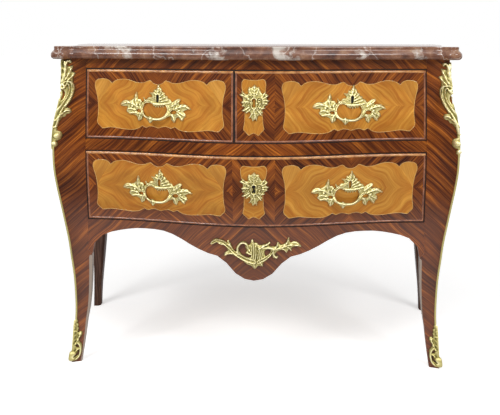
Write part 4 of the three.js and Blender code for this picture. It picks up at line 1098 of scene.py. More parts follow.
# Gilt bronze mounts: each casting fills its outline with a rounded body, and strokes raise its leaves.
# Heights below are shares of the stroke's height, widths shares of its width, and the rib's width is in mm.
chasing = {
    "lowest": 0.05,
    "leafBody": (0.55, 0.15),
    "leafVeins": {"height": 0.13, "slant": 0.7, "fade": 2.5},
    "leafRib": {"height": 0.26, "width": 1.4},
    "leafTeeth": (0.76, 0.3, 0.05),
    "leafSwell": {"length": 0.3, "start": 0.55, "rise": 0.45},
    "scrollRim": {"floor": 0.55, "rise": 0.45, "spread": 1.15, "start": 0.22},
    "shellBody": (0.62, 0.18),
    "shellRibs": 0.17,
}


# t runs along the stroke and q out to its edge, both from 0 to 1
def strokeHeight(one, q, t, across):
    bow = np.sqrt(np.clip(1 - q**2, 0, 1))
    if one["kind"] == "leaf":
        (height, edge), veins, rib = chasing["leafBody"], chasing["leafVeins"], chasing["leafRib"]
        wave = np.cos(2 * math.pi * (one["lobes"] * t - veins["slant"] * q))
        wave = wave * np.minimum(1, q * veins["fade"])
        ridge = rib["height"] * np.exp(-((across / rib["width"]) ** 2))
        return np.clip(height * bow + edge + veins["height"] * wave + ridge, chasing["lowest"], 1)
    if one["kind"] == "scroll":
        rim = chasing["scrollRim"]
        wave = np.sin(math.pi * np.clip(q * rim["spread"] - rim["start"], 0, 1)) ** 2
        return (rim["floor"] + rim["rise"] * wave) * np.sqrt(np.clip(1 - q**6, 0, 1))
    if one["kind"] == "shell":
        height, edge = chasing["shellBody"]
        ribs = chasing["shellRibs"] * np.cos(math.pi * (across / one["width"]) * one["lobes"])
        return np.clip(height * bow + edge + ribs, chasing["lowest"], 1)
    return bow


def strokeWidth(one, t):
    if one["kind"] in ("leaf", "shell"):
        swell = chasing["leafSwell"]
        grown = np.clip(t / swell["length"], 0, 1)
        outline = (swell["start"] + swell["rise"] * grown * (2 - grown)) * np.clip(1 - t, 0, 1) ** 0.5
        notch, tooth, tip = chasing["leafTeeth"]
        return one["width"] * (outline * (notch + tooth * ((one["lobes"] * t) % 1.0)) + tip)
    first, last = one["ends"]
    return one["width"] * (first + (last - first) * t)


def nearestOn(line, across, up):
    shortest = 1e-6
    steps = np.linalg.norm(np.diff(line, axis=0), axis=1)
    total = steps.sum()
    start = np.concatenate([[0], np.cumsum(steps)])
    best = np.full(across.shape, np.inf)
    share = np.zeros(across.shape)
    signed = np.zeros(across.shape)
    for k, ((x0, z0), (x1, z1)) in enumerate(zip(line[:-1], line[1:])):
        dx, dz = x1 - x0, z1 - z0
        length = max(steps[k], shortest)
        t = np.clip(((across - x0) * dx + (up - z0) * dz) / length**2, 0, 1)
        ex, ez = across - x0 - t * dx, up - z0 - t * dz
        distance = np.hypot(ex, ez)
        closer = distance < best
        best = np.where(closer, distance, best)
        share = np.where(closer, (start[k] + t * length) / total, share)
        signed = np.where(closer, np.sign(dx * ez - dz * ex) * distance, signed)
    return share, signed


# Paths and outlines are curves with this many steps from point to point.
# Towards its outline a casting fades over the rim, down to a share of its height.
field = {
    "margin": 5,
    "pathSteps": 7,
    "outlineSteps": 4,
    "rim": 2.5,
    "rimShare": 0.45,
    "wallShare": 0.6,
    "softRounds": 1,
    "crestRounds": 16,
    "crestReach": 3.2,
    "sharpAngle": 60,
}


# Distance in from a closed outline, below zero outside it
def insetOf(outline, unit, across, up):
    line = curveThrough(np.array(outline, float) * unit, field["outlineSteps"], closed=True)
    _, distance = nearestOn(np.concatenate([line, line[:1]]), across, up)
    held = inside(line, np.stack([across.ravel(), up.ravel()], -1)).reshape(across.shape)
    return np.where(held, 1, -1) * np.abs(distance)


def soften(values, rounds):
    for _ in range(rounds):
        p = np.pad(values, 1, mode="edge")
        values = (p[:-2, 1:-1] + p[2:, 1:-1] + p[1:-1, :-2] + p[1:-1, 2:] + 4 * values) / 8
    return values


def castField(plan):
    unit = plan["unit"]
    corners = np.array(plan["outline"], float) * unit
    low, high = corners.min(0) - field["margin"], corners.max(0) + field["margin"]
    rows, columns = (np.arange(first, last, plan["step"]) for first, last in zip(low, high))
    across, up = np.meshgrid(rows, columns, indexing="ij")
    inset = insetOf(plan["outline"], unit, across, up) + plan["grow"]
    for opening in plan["openings"]:
        inset = np.minimum(inset, -insetOf(opening, unit, across, up))
    for path, width in plan.get("slots", []):
        _, distance = nearestOn(curveThrough(np.array(path, float) * unit, field["pathSteps"]), across, up)
        inset = np.minimum(inset, np.abs(distance) - width)
    edge = np.clip(inset / plan["edge"], 0, 1)
    height = plan["body"] * np.sqrt(1 - (1 - edge) ** 2)
    for one in plan["strokes"]:
        line = curveThrough(np.array(one["path"], float) * unit, field["pathSteps"])
        t, distance = nearestOn(line, across, up)
        q = np.abs(distance) / strokeWidth(one, t)
        raised = one["height"] * strokeHeight(one, np.minimum(q, 1), t, distance)
        height = np.where((q < 1) & (raised > height), raised, height)
    height = np.where(inset > 0, height, 0) * np.clip(field["rimShare"] + inset / field["rim"], 0, 1)
    height = soften(height, field["softRounds"])
    # Crests are burnished, and hollows are dull and darkened as painted shade, so each point keeps how far
    # it stands above those around it
    above = height - soften(height, field["crestRounds"])
    return across, up, inset, height, np.clip(plan["bright"] + above / field["crestReach"], 0, 1)


# The relief tells the bronze how burnished each point is, and how much painted shade darkens it
def writeRelief(mesh, values):
    relief = mesh.attributes.new("relief", "FLOAT", "POINT")
    relief.data.foreach_set("value", values)


# Cuts the grid along the casting's outline, and closes it with walls and a back
def castMesh(name, cast, lay, sunk, material=bronze):
    across, up, inset, height, crest = cast
    rows, columns = inset.shape
    points, cache, faces = [], {}, []

    def corner(i, j):
        if (i, j) not in cache:
            cache[i, j] = len(points)
            points.append((across[i, j], up[i, j], height[i, j], crest[i, j]))
        return cache[i, j]

    def crossing(a, b):
        key = (a, b) if a < b else (b, a)
        if key not in cache:
            share = inset[a] / (inset[a] - inset[b])
            inner = a if inset[a] > 0 else b
            cache[key] = len(points)
            place = [line[a] + (line[b] - line[a]) * share for line in (across, up)]
            # Walls keep a lower value, so they are darkened as painted shade
            points.append((*place, height[inner] * field["wallShare"], crest[inner] * field["wallShare"]))
        return cache[key]

    for i in range(rows - 1):
        for j in range(columns - 1):
            if inset[i : i + 2, j : j + 2].max() <= 0:
                continue
            for triangle in (((i, j), (i + 1, j), (i + 1, j + 1)), ((i, j), (i + 1, j + 1), (i, j + 1))):
                face = []
                for a, b in zip(triangle, triangle[1:] + triangle[:1]):
                    if inset[a] > 0:
                        face.append(corner(*a))
                    if (inset[a] > 0) != (inset[b] > 0):
                        face.append(crossing(a, b))
                if len(face) >= 3:
                    faces += [(face[0], face[k], face[k + 1]) for k in range(1, len(face) - 1)]
    flat = np.array(points)
    count = len(flat)
    front = lay(flat[:, 0], flat[:, 1], flat[:, 2])
    rear = lay(flat[:, 0], flat[:, 1], np.full(count, -sunk))
    every = faces + [tuple(k + count for k in f[::-1]) for f in faces] + wallsRound(faces, count)
    mesh = bpy.data.meshes.new(name)
    mesh.from_pydata((np.concatenate([front, rear]) * mm).tolist(), [], every)
    mesh.materials.append(material)
    writeRelief(mesh, np.concatenate([flat[:, 3], np.zeros(count)]))
    bm = bmesh.new()
    bm.from_mesh(mesh)
    bmesh.ops.recalc_face_normals(bm, faces=bm.faces)
    bm.to_mesh(mesh)
    bm.free()
    mesh.shade_smooth()
    mesh.set_sharp_from_angle(angle=math.radians(field["sharpAngle"]))
    return mesh


# The four kinds of stroke: the path, half the width and the height,
# then the number of lobes or the shares of the width at both ends
def leaf(path, width, height, lobes=3):
    return {"kind": "leaf", "path": path, "width": width, "height": height, "lobes": lobes}


def shell(path, width, height, lobes):
    return {**leaf(path, width, height, lobes), "kind": "shell"}


def scroll(path, width, height, ends=(1, 1)):
    return {"kind": "scroll", "path": path, "width": width, "height": height, "ends": ends}


def dome(path, width, height, ends=(1, 1)):
    return {**scroll(path, width, height, ends), "kind": "dome"}


def layOnFront(x, z, lift=None):
    def lay(across, up, forward):
        out = forward + (lift(across, up) if lift else 0)
        return np.stack([x + across, frontAt(x + across, z + up) - out, z + up], -1)

    return lay


handle = {
    "unit": 96,
    "step": 1.0,
    "sunk": 1.6,
    "reach": 20,
    "grow": 1.1,
    "bright": 0.55,
    "gripSpan": 0.42,
    "gripStart": 0.02,
    "gripFull": -0.07,
    "keyhole": (6, 31),
    "body": 4.5,
    "edge": 4,
    "places": {
        "upper_left_handle": (-252, 734.5, "upper_left_drawer"),
        "upper_right_handle": (252, 734.5, "upper_right_drawer"),
        "lower_left_handle": (-252, 512, "lower_drawer"),
        "lower_right_handle": (252, 512, "lower_drawer"),
    },
    "outline": [
        (0.1, 0.72), (0.135, 0.64), (0.185, 0.578), (0.2, 0.52), (0.262, 0.489), (0.268, 0.43),
        (0.335, 0.405), (0.345, 0.35), (0.41, 0.33), (0.474, 0.25), (0.56, 0.3), (0.64, 0.34),
        (0.711, 0.326), (0.68, 0.26), (0.674, 0.193), (0.8, 0.2), (0.904, 0.163), (0.993, 0.075),
        (0.89, 0.07), (0.785, 0.007), (0.83, -0.04), (0.85, -0.12), (0.8, -0.15), (0.765, -0.24),
        (0.7, -0.21), (0.65, -0.15), (0.59, -0.16), (0.57, -0.22), (0.53, -0.29), (0.45, -0.22),
        (0.437, -0.133), (0.36, -0.14), (0.267, -0.19), (0.15, -0.225), (0.03, -0.225), (-0.05, -0.235),
        (-0.13, -0.31), (-0.19, -0.24), (-0.267, -0.185), (-0.378, -0.12), (-0.39, -0.2),
        (-0.47, -0.275), (-0.51, -0.22), (-0.54, -0.14), (-0.644, -0.096), (-0.72, -0.1),
        (-0.785, -0.06), (-0.83, 0.0), (-0.8, 0.06), (-0.807, 0.12), (-0.9, 0.12), (-1.0, 0.15),
        (-0.95, 0.23), (-0.85, 0.275), (-0.72, 0.265), (-0.62, 0.33), (-0.585, 0.42), (-0.541, 0.5),
        (-0.51, 0.42), (-0.5, 0.32), (-0.42, 0.3), (-0.36, 0.22), (-0.32, 0.28), (-0.335, 0.36),
        (-0.27, 0.3), (-0.19, 0.36), (-0.11, 0.37), (-0.09, 0.42), (-0.16, 0.5), (-0.052, 0.5),
        (-0.04, 0.57), (0.02, 0.58), (0.06, 0.64),
    ],
    "openings": [
        [
            (-0.33, 0.1), (-0.345, 0.0), (-0.3, -0.09), (-0.2, -0.14), (-0.13, -0.12), (-0.04, -0.16),
            (0.12, -0.165), (0.24, -0.12), (0.305, -0.04), (0.315, 0.05), (0.29, 0.14), (0.25, 0.16),
            (0.225, 0.09), (0.185, 0.15), (0.155, 0.08), (0.115, 0.14), (0.08, 0.075), (0.045, 0.135),
            (0.01, 0.08), (-0.025, 0.14), (-0.06, 0.12), (-0.1, 0.18), (-0.18, 0.22), (-0.27, 0.2),
        ],
        [(-0.53, 0.03), (-0.47, 0.035), (-0.42, 0.02), (-0.43, -0.035), (-0.5, -0.035)],
        [(0.44, -0.04), (0.47, 0.02), (0.53, 0.03), (0.6, 0.0), (0.56, -0.05), (0.5, -0.06)],
    ],
    "slots": [([(0.065, 0.27), (0.065, 0.4)], 2.5)],
    "strokes": [
        # The opening's frame, whose lower bow is the grip
        scroll([(-0.12, 0.23), (-0.26, 0.25), (-0.36, 0.16), (-0.385, 0.02), (-0.33, -0.11)], 4, 7),
        dome([(-0.37, -0.07), (-0.24, -0.165), (-0.05, -0.195), (0.15, -0.19), (0.34, -0.08)], 3, 5.5),
        scroll([(0.3, 0.2), (0.36, 0.1), (0.36, -0.02), (0.3, -0.11)], 3.6, 7),
        # Rosette under the grip
        leaf([(-0.13, -0.16), (-0.13, -0.3)], 5, 8, 2),
        leaf([(-0.13, -0.18), (-0.03, -0.19)], 4, 7.5, 2),
        leaf([(-0.13, -0.18), (-0.23, -0.17)], 4, 7.5, 2),
        leaf([(-0.13, -0.19), (-0.13, -0.11)], 3.5, 7.5, 2),
        dome([(-0.13, -0.185), (-0.128, -0.188)], 2.6, 8.5),
        # Peaked shell crest: a bead round the keyhole, and flutes that run out to the scalloped edge
        dome([(0.02, 0.25), (0.015, 0.42), (0.065, 0.46), (0.115, 0.42), (0.11, 0.25)], 2, 7.5),
        leaf([(0.06, 0.46), (0.08, 0.56), (0.1, 0.71)], 7, 9, 4),
        leaf([(0.04, 0.44), (-0.04, 0.49), (-0.14, 0.495)], 5.5, 8.5, 2),
        leaf([(0.06, 0.5), (0.0, 0.55), (-0.02, 0.57)], 4, 8, 2),
        leaf([(0.12, 0.44), (0.16, 0.51), (0.18, 0.57)], 4, 8.5, 2),
        leaf([(0.12, 0.38), (0.19, 0.44), (0.25, 0.48)], 4.5, 8.5, 2),
        leaf([(0.13, 0.31), (0.23, 0.36), (0.32, 0.395)], 4.5, 8.5, 2),
        leaf([(0.14, 0.25), (0.28, 0.29), (0.4, 0.325)], 4.5, 8, 2),
        leaf([(0.2, 0.19), (0.34, 0.22), (0.46, 0.24)], 4.5, 8, 2),
        scroll([(0.0, 0.38), (-0.1, 0.32), (-0.22, 0.29), (-0.34, 0.2)], 3.6, 8, (0.7, 1)),
        leaf([(-0.27, 0.26), (-0.31, 0.31), (-0.33, 0.35)], 3.4, 7, 2),
        # Hanging points
        dome([(-0.06, 0.2), (0.08, 0.19), (0.24, 0.2)], 3.6, 7.5),
        dome([(-0.025, 0.2), (-0.025, 0.13)], 1.7, 7),
        dome([(0.045, 0.2), (0.045, 0.12)], 1.7, 7),
        dome([(0.115, 0.2), (0.115, 0.13)], 1.7, 7),
        dome([(0.185, 0.2), (0.185, 0.14)], 1.7, 7),
        dome([(0.25, 0.2), (0.255, 0.15)], 1.7, 7),
        # Left spray
        leaf([(-0.5, 0.1), (-0.66, 0.19), (-0.82, 0.22), (-0.98, 0.16)], 8.5, 9, 4),
        leaf([(-0.52, 0.14), (-0.56, 0.28), (-0.542, 0.48)], 6.5, 9),
        leaf([(-0.42, 0.08), (-0.44, 0.19), (-0.38, 0.28)], 6, 8.5),
        leaf([(-0.58, 0.02), (-0.7, 0.06), (-0.82, 0.03)], 7, 8.5),
        leaf([(-0.54, -0.05), (-0.65, -0.05), (-0.77, -0.075)], 6, 8.5),
        leaf([(-0.42, -0.06), (-0.46, -0.16), (-0.475, -0.26)], 7, 8.5),
        dome([(-0.66, 0.12), (-0.658, 0.121)], 4.5, 9.5),
        scroll([(-0.4, 0.05), (-0.47, 0.07), (-0.56, 0.04), (-0.55, -0.04), (-0.44, -0.07)], 3, 8),
        # Right spray
        leaf([(0.46, 0.14), (0.58, 0.22), (0.7, 0.315)], 8, 9),
        leaf([(0.56, 0.08), (0.7, 0.13), (0.84, 0.15), (0.98, 0.08)], 8, 9, 4),
        leaf([(0.6, 0.02), (0.7, -0.04), (0.84, -0.11)], 6.5, 8.5),
        leaf([(0.62, -0.06), (0.7, -0.13), (0.76, -0.22)], 6.5, 8.5),
        leaf([(0.46, -0.08), (0.51, -0.17), (0.53, -0.27)], 6.5, 8.5),
        dome([(0.66, 0.03), (0.662, 0.031)], 4.2, 9.5),
        scroll([(0.4, 0.0), (0.46, 0.06), (0.56, 0.07), (0.63, 0.01), (0.56, -0.09), (0.45, -0.09)], 3, 8),
    ],
}


def handleLift(across, up):
    bow = np.clip(1 - (across / (handle["gripSpan"] * handle["unit"])) ** 2, 0, 1)
    share = (handle["gripStart"] - up / handle["unit"]) / (handle["gripStart"] - handle["gripFull"])
    share = np.clip(share, 0, 1)
    return handle["reach"] * bow * share * share * (3 - 2 * share)


cast = castField(handle)
for name, (x, z, body) in handle["places"].items():
    across, rise = handle["keyhole"]
    mesh = castMesh(name + "_cast", cast, layOnFront(x - across, z - rise, handleLift), handle["sunk"])
    settle(name + "_casting", mesh, body, [name])

escutcheon = {
    "unit": 45,
    "step": 0.85,
    "sunk": 1.6,
    "drop": 4,
    "grow": 0.9,
    "bright": 0.52,
    "body": 4.5,
    "edge": 4,
    "places": {
        "upper_escutcheon": (1.5, 734.5, "upper_right_drawer"),
        "lower_escutcheon": (1.5, 512, "lower_drawer"),
    },
    "outline": [
        (0.01, 0.99), (0.09, 0.9), (0.16, 0.84), (0.26, 0.86), (0.3, 0.72), (0.36, 0.6), (0.44, 0.5),
        (0.54, 0.54), (0.63, 0.6), (0.66, 0.5), (0.78, 0.4), (0.71, 0.29), (0.7, 0.2), (0.84, 0.1),
        (0.74, 0.02), (0.78, -0.08), (0.65, -0.14), (0.55, -0.22), (0.61, -0.3), (0.5, -0.36),
        (0.4, -0.45), (0.48, -0.56), (0.4, -0.6), (0.44, -0.73), (0.3, -0.68), (0.2, -0.75),
        (0.17, -0.85), (0.14, -1.01), (0.05, -0.93), (-0.08, -1.02), (-0.12, -0.92), (-0.19, -0.84),
        (-0.32, -0.86), (-0.24, -0.76), (-0.2, -0.62), (-0.26, -0.5), (-0.36, -0.52), (-0.48, -0.6),
        (-0.5, -0.48), (-0.7, -0.46), (-0.57, -0.32), (-0.56, -0.23), (-0.69, -0.19), (-0.64, -0.08),
        (-0.74, 0.02), (-0.64, 0.12), (-0.66, 0.3), (-0.83, 0.44), (-0.7, 0.52), (-0.7, 0.64),
        (-0.58, 0.54), (-0.44, 0.46), (-0.33, 0.52), (-0.36, 0.68), (-0.3, 0.86), (-0.19, 0.82),
        (-0.1, 0.9),
    ],
    "openings": [
        [
            (-0.02, 0.215), (-0.08, 0.19), (-0.104, 0.13), (-0.08, 0.07), (-0.06, 0.03), (-0.06, -0.08),
            (-0.09, -0.21), (0.05, -0.21), (0.02, -0.08), (0.02, 0.03), (0.04, 0.07), (0.064, 0.13),
            (0.04, 0.19),
        ]
    ],
    "strokes": [
        leaf([(-0.02, 0.34), (0.0, 0.62), (0.0, 0.96)], 11, 8.5, 4),
        leaf([(0.12, 0.44), (0.2, 0.62), (0.26, 0.82)], 5.5, 8),
        leaf([(-0.16, 0.44), (-0.26, 0.62), (-0.3, 0.82)], 5.5, 8),
        # Left scrolls and leaves
        leaf([(-0.3, 0.2), (-0.5, 0.34), (-0.8, 0.46)], 7, 8.5),
        leaf([(-0.36, 0.34), (-0.52, 0.46), (-0.69, 0.61)], 5, 8, 2),
        scroll([(-0.2, 0.36), (-0.36, 0.36), (-0.44, 0.22), (-0.36, 0.1), (-0.26, 0.16)], 3.2, 8.5),
        leaf([(-0.34, 0.06), (-0.5, 0.06), (-0.72, 0.02)], 5.5, 8),
        scroll([(-0.26, -0.02), (-0.42, 0.0), (-0.52, -0.12), (-0.44, -0.24), (-0.32, -0.2)], 3.2, 8.5),
        leaf([(-0.28, -0.24), (-0.46, -0.36), (-0.68, -0.46)], 6.5, 8.5),
        leaf([(-0.22, -0.36), (-0.34, -0.46), (-0.48, -0.58)], 5, 8, 2),
        # Foot
        leaf([(-0.02, -0.42), (0.02, -0.66), (0.0, -0.96)], 9, 8.5, 4),
        leaf([(0.02, -0.56), (0.08, -0.76), (0.13, -0.98)], 4.5, 8.5, 2),
        leaf([(-0.1, -0.56), (-0.2, -0.72), (-0.31, -0.84)], 4.5, 8, 2),
        leaf([(0.14, -0.38), (0.28, -0.52), (0.43, -0.71)], 7, 8.5),
        leaf([(0.24, -0.24), (0.42, -0.3), (0.6, -0.3)], 5.5, 8, 2),
        # The C-scroll right of the keyhole, and the fluted shell outside it
        scroll([(0.16, 0.02), (0.2, 0.22), (0.34, 0.24), (0.42, 0.08), (0.36, -0.14), (0.2, -0.34)], 4, 9),
        dome([(0.28, 0.07), (0.29, 0.06)], 3.2, 7.5),
        dome([(0.3, -0.06), (0.3, -0.07)], 2.6, 7.5),
        leaf([(0.4, 0.26), (0.5, 0.42), (0.62, 0.58)], 5, 8.5, 2),
        leaf([(0.44, 0.2), (0.6, 0.3), (0.76, 0.4)], 4.5, 8.5, 2),
        leaf([(0.48, 0.1), (0.64, 0.14), (0.82, 0.11)], 4.5, 8.5, 2),
        leaf([(0.46, 0.0), (0.6, -0.02), (0.76, -0.07)], 4.5, 8.5, 2),
        # A plain bead round the keyhole
        dome([(-0.16, -0.26), (-0.17, 0.1), (-0.08, 0.26), (0.06, 0.24), (0.12, 0.1), (0.11, -0.26)], 2, 8),
        dome([(-0.12, -0.3), (0.0, -0.36), (0.08, -0.3)], 2.4, 8),
    ],
}
cast = castField(escutcheon)
for name, (x, z, body) in escutcheon["places"].items():
    mesh = castMesh(name + "_cast", cast, layOnFront(x, z - escutcheon["drop"]), escutcheon["sunk"])
    settle(name + "_casting", mesh, body, [name])

# A dark keyhole-shaped patch on three of the keyholes is painted shade of the keyhole's hollow
keyholePatch = {
    "unit": 1,
    "step": 1.0,
    "sunk": 0.9,
    "proud": 0.9,
    "grow": 0,
    "bright": 0,
    "body": 0.2,
    "edge": 1,
    "openings": [],
    "strokes": [],
    "straight": [(-4, -11), (4, -11), (4.5, 0), (4, 11), (-4, 11), (-4.5, 0)],
    "peaked": [(-5, -11.5), (4, -11.5), (5, 0), (5.5, 8), (0, 12), (-5.5, 8), (-5, 0)],
    "places": {
        "upper_left_drawer": (-252, 734.5, "straight"),
        "upper_right_drawer": (252, 734.5, "straight"),
        "lower_drawer": (0.5, 508, "peaked"),
    },
}
for body, (x, z, shape) in keyholePatch["places"].items():
    cast = castField({**keyholePatch, "outline": keyholePatch[shape]})
    lay = layOnFront(x, z, lambda across, up: np.full_like(across, keyholePatch["proud"]))
    mesh = castMesh(body + "_plate", cast, lay, keyholePatch["sunk"], keyholeShade)
    settle(body + "_keyhole_plate", mesh, body, ())

apronMount = {
    "unit": 120,
    "step": 1.0,
    "sunk": 1.6,
    "height": 326,
    "grow": 1.6,
    "bright": 0.5,
    "body": 4.5,
    "edge": 4.5,
    "outline": [
        (-0.96, 0.19), (-0.93, 0.26), (-0.86, 0.305), (-0.76, 0.3), (-0.66, 0.27), (-0.6, 0.225),
        (-0.575, 0.285), (-0.52, 0.2), (-0.47, 0.09), (-0.4, 0.02), (-0.385, 0.13), (-0.33, 0.22),
        (-0.25, 0.265), (-0.17, 0.245), (-0.12, 0.19), (-0.07, 0.21), (-0.04, 0.31), (0.0, 0.25),
        (0.06, 0.23), (0.12, 0.18), (0.22, 0.2), (0.35, 0.25), (0.32, 0.18), (0.4, 0.15), (0.48, 0.16),
        (0.53, 0.25), (0.58, 0.19), (0.65, 0.2), (0.72, 0.25), (0.77, 0.35), (0.8, 0.24), (0.88, 0.26),
        (0.97, 0.235), (1.04, 0.15), (0.97, 0.16), (0.9, 0.16), (0.83, 0.12), (0.83, 0.05), (0.77, 0.09),
        (0.725, 0.02), (0.67, 0.08), (0.55, 0.07), (0.48, 0.02), (0.47, -0.05), (0.53, -0.08),
        (0.5, -0.12), (0.43, -0.09), (0.4, -0.01), (0.36, -0.07), (0.27, -0.16), (0.2, -0.22),
        (0.19, -0.3), (0.1, -0.28), (0.02, -0.36), (-0.05, -0.29), (-0.15, -0.25), (-0.25, -0.17),
        (-0.4, -0.08), (-0.53, -0.02), (-0.6, -0.03), (-0.66, -0.07), (-0.63, 0.0), (-0.57, 0.05),
        (-0.61, 0.12), (-0.68, 0.19), (-0.76, 0.19), (-0.82, 0.24), (-0.89, 0.21),
    ],
    "openings": [
        [
            (-0.33, 0.08), (-0.31, 0.17), (-0.25, 0.215), (-0.2, 0.2), (-0.19, 0.13), (-0.16, 0.06),
            (-0.19, 0.0), (-0.14, -0.03), (-0.06, -0.05), (-0.1, -0.09), (-0.2, -0.07), (-0.29, 0.0),
        ],
        [(0.24, 0.05), (0.31, 0.09), (0.36, 0.07), (0.35, 0.0), (0.26, -0.05)],
    ],
    "strokes": [
        # Left branch: a long notched leaf that ends in a sickle
        scroll(
            [
                (0.0, -0.2), (-0.2, -0.13), (-0.4, -0.01), (-0.55, 0.14), (-0.7, 0.25), (-0.85, 0.27),
                (-0.95, 0.2),
            ],
            6.5,
            9,
            (1.2, 0.7),
        ),
        leaf([(-0.44, 0.06), (-0.52, 0.16), (-0.57, 0.27)], 5, 8.5, 2),
        leaf([(-0.34, -0.04), (-0.5, -0.01), (-0.65, -0.06)], 5, 8.5),
        leaf([(-0.62, 0.18), (-0.72, 0.2), (-0.81, 0.23)], 4.5, 8.5),
        # Open ring beside the shell
        dome(
            [(-0.36, 0.0), (-0.36, 0.13), (-0.28, 0.235), (-0.18, 0.225), (-0.14, 0.17)], 3, 8.5, (1.2, 0.9)
        ),
        # Ribbed shell
        shell([(-0.02, -0.16), (0.0, 0.04), (-0.02, 0.26)], 15, 9.5, 5),
        leaf([(-0.05, 0.0), (-0.11, 0.08), (-0.15, 0.17)], 6, 8.5),
        leaf([(-0.06, -0.02), (-0.12, 0.0), (-0.17, 0.04)], 5, 8.5, 2),
        shell([(0.12, -0.16), (0.14, 0.0), (0.1, 0.16)], 11, 9.5, 4),
        leaf([(0.1, 0.1), (0.2, 0.16), (0.33, 0.235)], 6.5, 9.5),
        # Foot leaves
        leaf([(0.02, -0.14), (0.0, -0.24), (0.02, -0.34)], 7, 8.5),
        leaf([(0.1, -0.15), (0.15, -0.22), (0.19, -0.29)], 6, 8.5),
        leaf([(-0.06, -0.16), (-0.12, -0.21), (-0.18, -0.22)], 5, 8, 2),
        # Right branch
        scroll([(0.1, -0.2), (0.26, -0.11), (0.38, 0.0), (0.42, 0.1)], 5, 8.5, (1.1, 0.8)),
        dome([(0.2, 0.12), (0.32, 0.13), (0.44, 0.1)], 4, 8.5),
        leaf([(0.42, 0.08), (0.6, 0.13), (0.8, 0.19), (1.02, 0.17)], 7.5, 9, 5),
        leaf([(0.46, 0.1), (0.51, 0.17), (0.53, 0.24)], 5, 8.5, 2),
        leaf([(0.66, 0.16), (0.73, 0.24), (0.77, 0.34)], 6, 8.5),
        dome([(0.43, 0.05), (0.44, -0.04), (0.5, -0.1)], 3, 7.5),
        leaf([(0.62, 0.12), (0.68, 0.08), (0.72, 0.03)], 5, 8.5, 2),
        leaf([(0.74, 0.15), (0.8, 0.11), (0.83, 0.06)], 4.5, 8.5, 2),
    ],
}
cast = castField(apronMount)
mesh = castMesh("apron_mount_cast", cast, layOnFront(0, apronMount["height"]), apronMount["sunk"])
settle("apron_mount_casting", mesh, "carcass", ["apron_mount"])
print("handles, escutcheons and apron mount made")


# Corner castings wrap the arris: across runs from the front (below zero) round to the side,
# and a casting turns within this distance of the arris
cornerTurn = 6
sides = {"right": 1, "left": -1}


def layOnCorner(foot, side, outward=0, stretch=1):
    def lay(across, up, forward):
        z = foot + up * stretch
        across = across + outward
        x = cornerOut(z) + np.minimum(across, 0)
        sideY = cornerForward(z) + np.maximum(across, 0)
        px = np.where(across > 0, sideAt(sideY, z), x)
        py = np.where(across > 0, sideY, frontAt(x, z))
        turn = np.clip((across + cornerTurn) / (2 * cornerTurn), 0, 1)
        turn = turn * turn * (3 - 2 * turn) * math.pi / 2
        return np.stack([side * (px + forward * np.sin(turn)), py - forward * np.cos(turn), z], -1)

    return lay


# The side's half of a corner casting mirrors the front's, a little narrower, and pearls run down the arris
def completeCorner(plan):
    def mirrored(line):
        return [(-x * plan["sideShare"], z) for x, z in line]

    plan["outline"] = plan["half"] + mirrored(plan["half"])[::-1]
    plan["openings"] = plan["eyes"] + [mirrored(eye) for eye in plan["eyes"]]
    plan["strokes"] = plan["arris"] + plan["front"]
    plan["strokes"] += [{**one, "path": mirrored(one["path"])} for one in plan["front"]]
    plan["strokes"] += [dome([(x, z), (x + 0.2, z)], *plan["pearlSize"]) for x, z in plan["pearls"]]


# The two chutes were fitted by hand: the right one sits lower and further out
chute = {
    "unit": 1,
    "step": 1.0,
    "sunk": 1.2,
    "right": (585, 6, 1.085),
    "left": (600, 3, 1.04),
    "grow": 0.8,
    "bright": 0.5,
    "body": 4,
    "edge": 4,
    "sideShare": 0.88,
    "half": [
        (-1.5, 0.5), (-4, 6), (-8, 9), (-11.5, 12), (-11.5, 18), (-8.5, 22.5), (-13, 24.5), (-18.5, 28),
        (-21, 36), (-18, 44), (-12.5, 47.5), (-8.5, 50), (-8.5, 58), (-9.5, 68), (-11.5, 76), (-15, 82),
        (-20, 84.5), (-23, 90), (-28, 91), (-31.5, 95), (-29, 101), (-23, 104.5), (-18.5, 106),
        (-22, 114), (-26.5, 124), (-29.5, 137), (-30.5, 150), (-29, 161), (-25, 170), (-23.5, 177),
        (-26, 184), (-28.5, 192), (-22.5, 195), (-22, 201), (-24, 210.5), (-16, 209), (-11, 211),
        (-14, 217), (-20.5, 217.5), (-21.5, 223), (-15, 226), (-8, 223.5), (-3, 227),
    ],
    "eyes": [
        [(-4, 151), (-7.5, 147), (-9.5, 140), (-8.5, 132), (-5, 126), (-4.5, 132), (-6, 139), (-5, 145)],
    ],
    "front": [
        # Acanthus head with its curl
        leaf([(-4, 170), (-8, 196), (-8, 224)], 8, 9, 4),
        leaf([(-9, 176), (-16, 192), (-23, 209)], 6.5, 8.5),
        leaf([(-12, 172), (-21, 182), (-28, 192)], 5, 8, 2),
        dome([(-9, 208), (-12, 220), (-18, 223), (-20, 219)], 2.8, 8.5),
        # Broad C-scroll with raised rims, and the stem that it runs down into
        scroll(
            [
                (-6, 158), (-11, 169), (-19, 165), (-22, 150), (-20, 134), (-14, 118), (-8, 102), (-5, 84),
                (-4, 62),
            ],
            8.5,
            9,
            (0.6, 0.75),
        ),
        dome([(-12, 170), (-22, 170), (-28.5, 158), (-28, 142), (-24, 126), (-17, 110)], 1.8, 9.5),
        dome([(-4, 166), (-8, 160), (-6, 154)], 2.4, 9),
        # Lower leaf
        leaf([(-4, 74), (-12, 90), (-22, 99), (-31, 96)], 7, 9, 5),
        # Two rounded knops and the tail
        dome([(-12.5, 36), (-12, 35)], 8, 9.5),
        dome([(-6, 17), (-6.5, 16)], 5.5, 8),
    ],
    "arris": [
        leaf([(0, 166), (0, 196), (0, 227)], 8, 9.5, 4),
        dome([(0, 128), (-1, 104), (-2, 78), (0, 50), (0, 22), (0, 3)], 4.5, 7.5, (1, 0.6)),
    ],
    "pearls": [(1, 172), (2.5, 162), (2.5, 152), (1.5, 144)],
    "pearlSize": (4, 8.5),
}
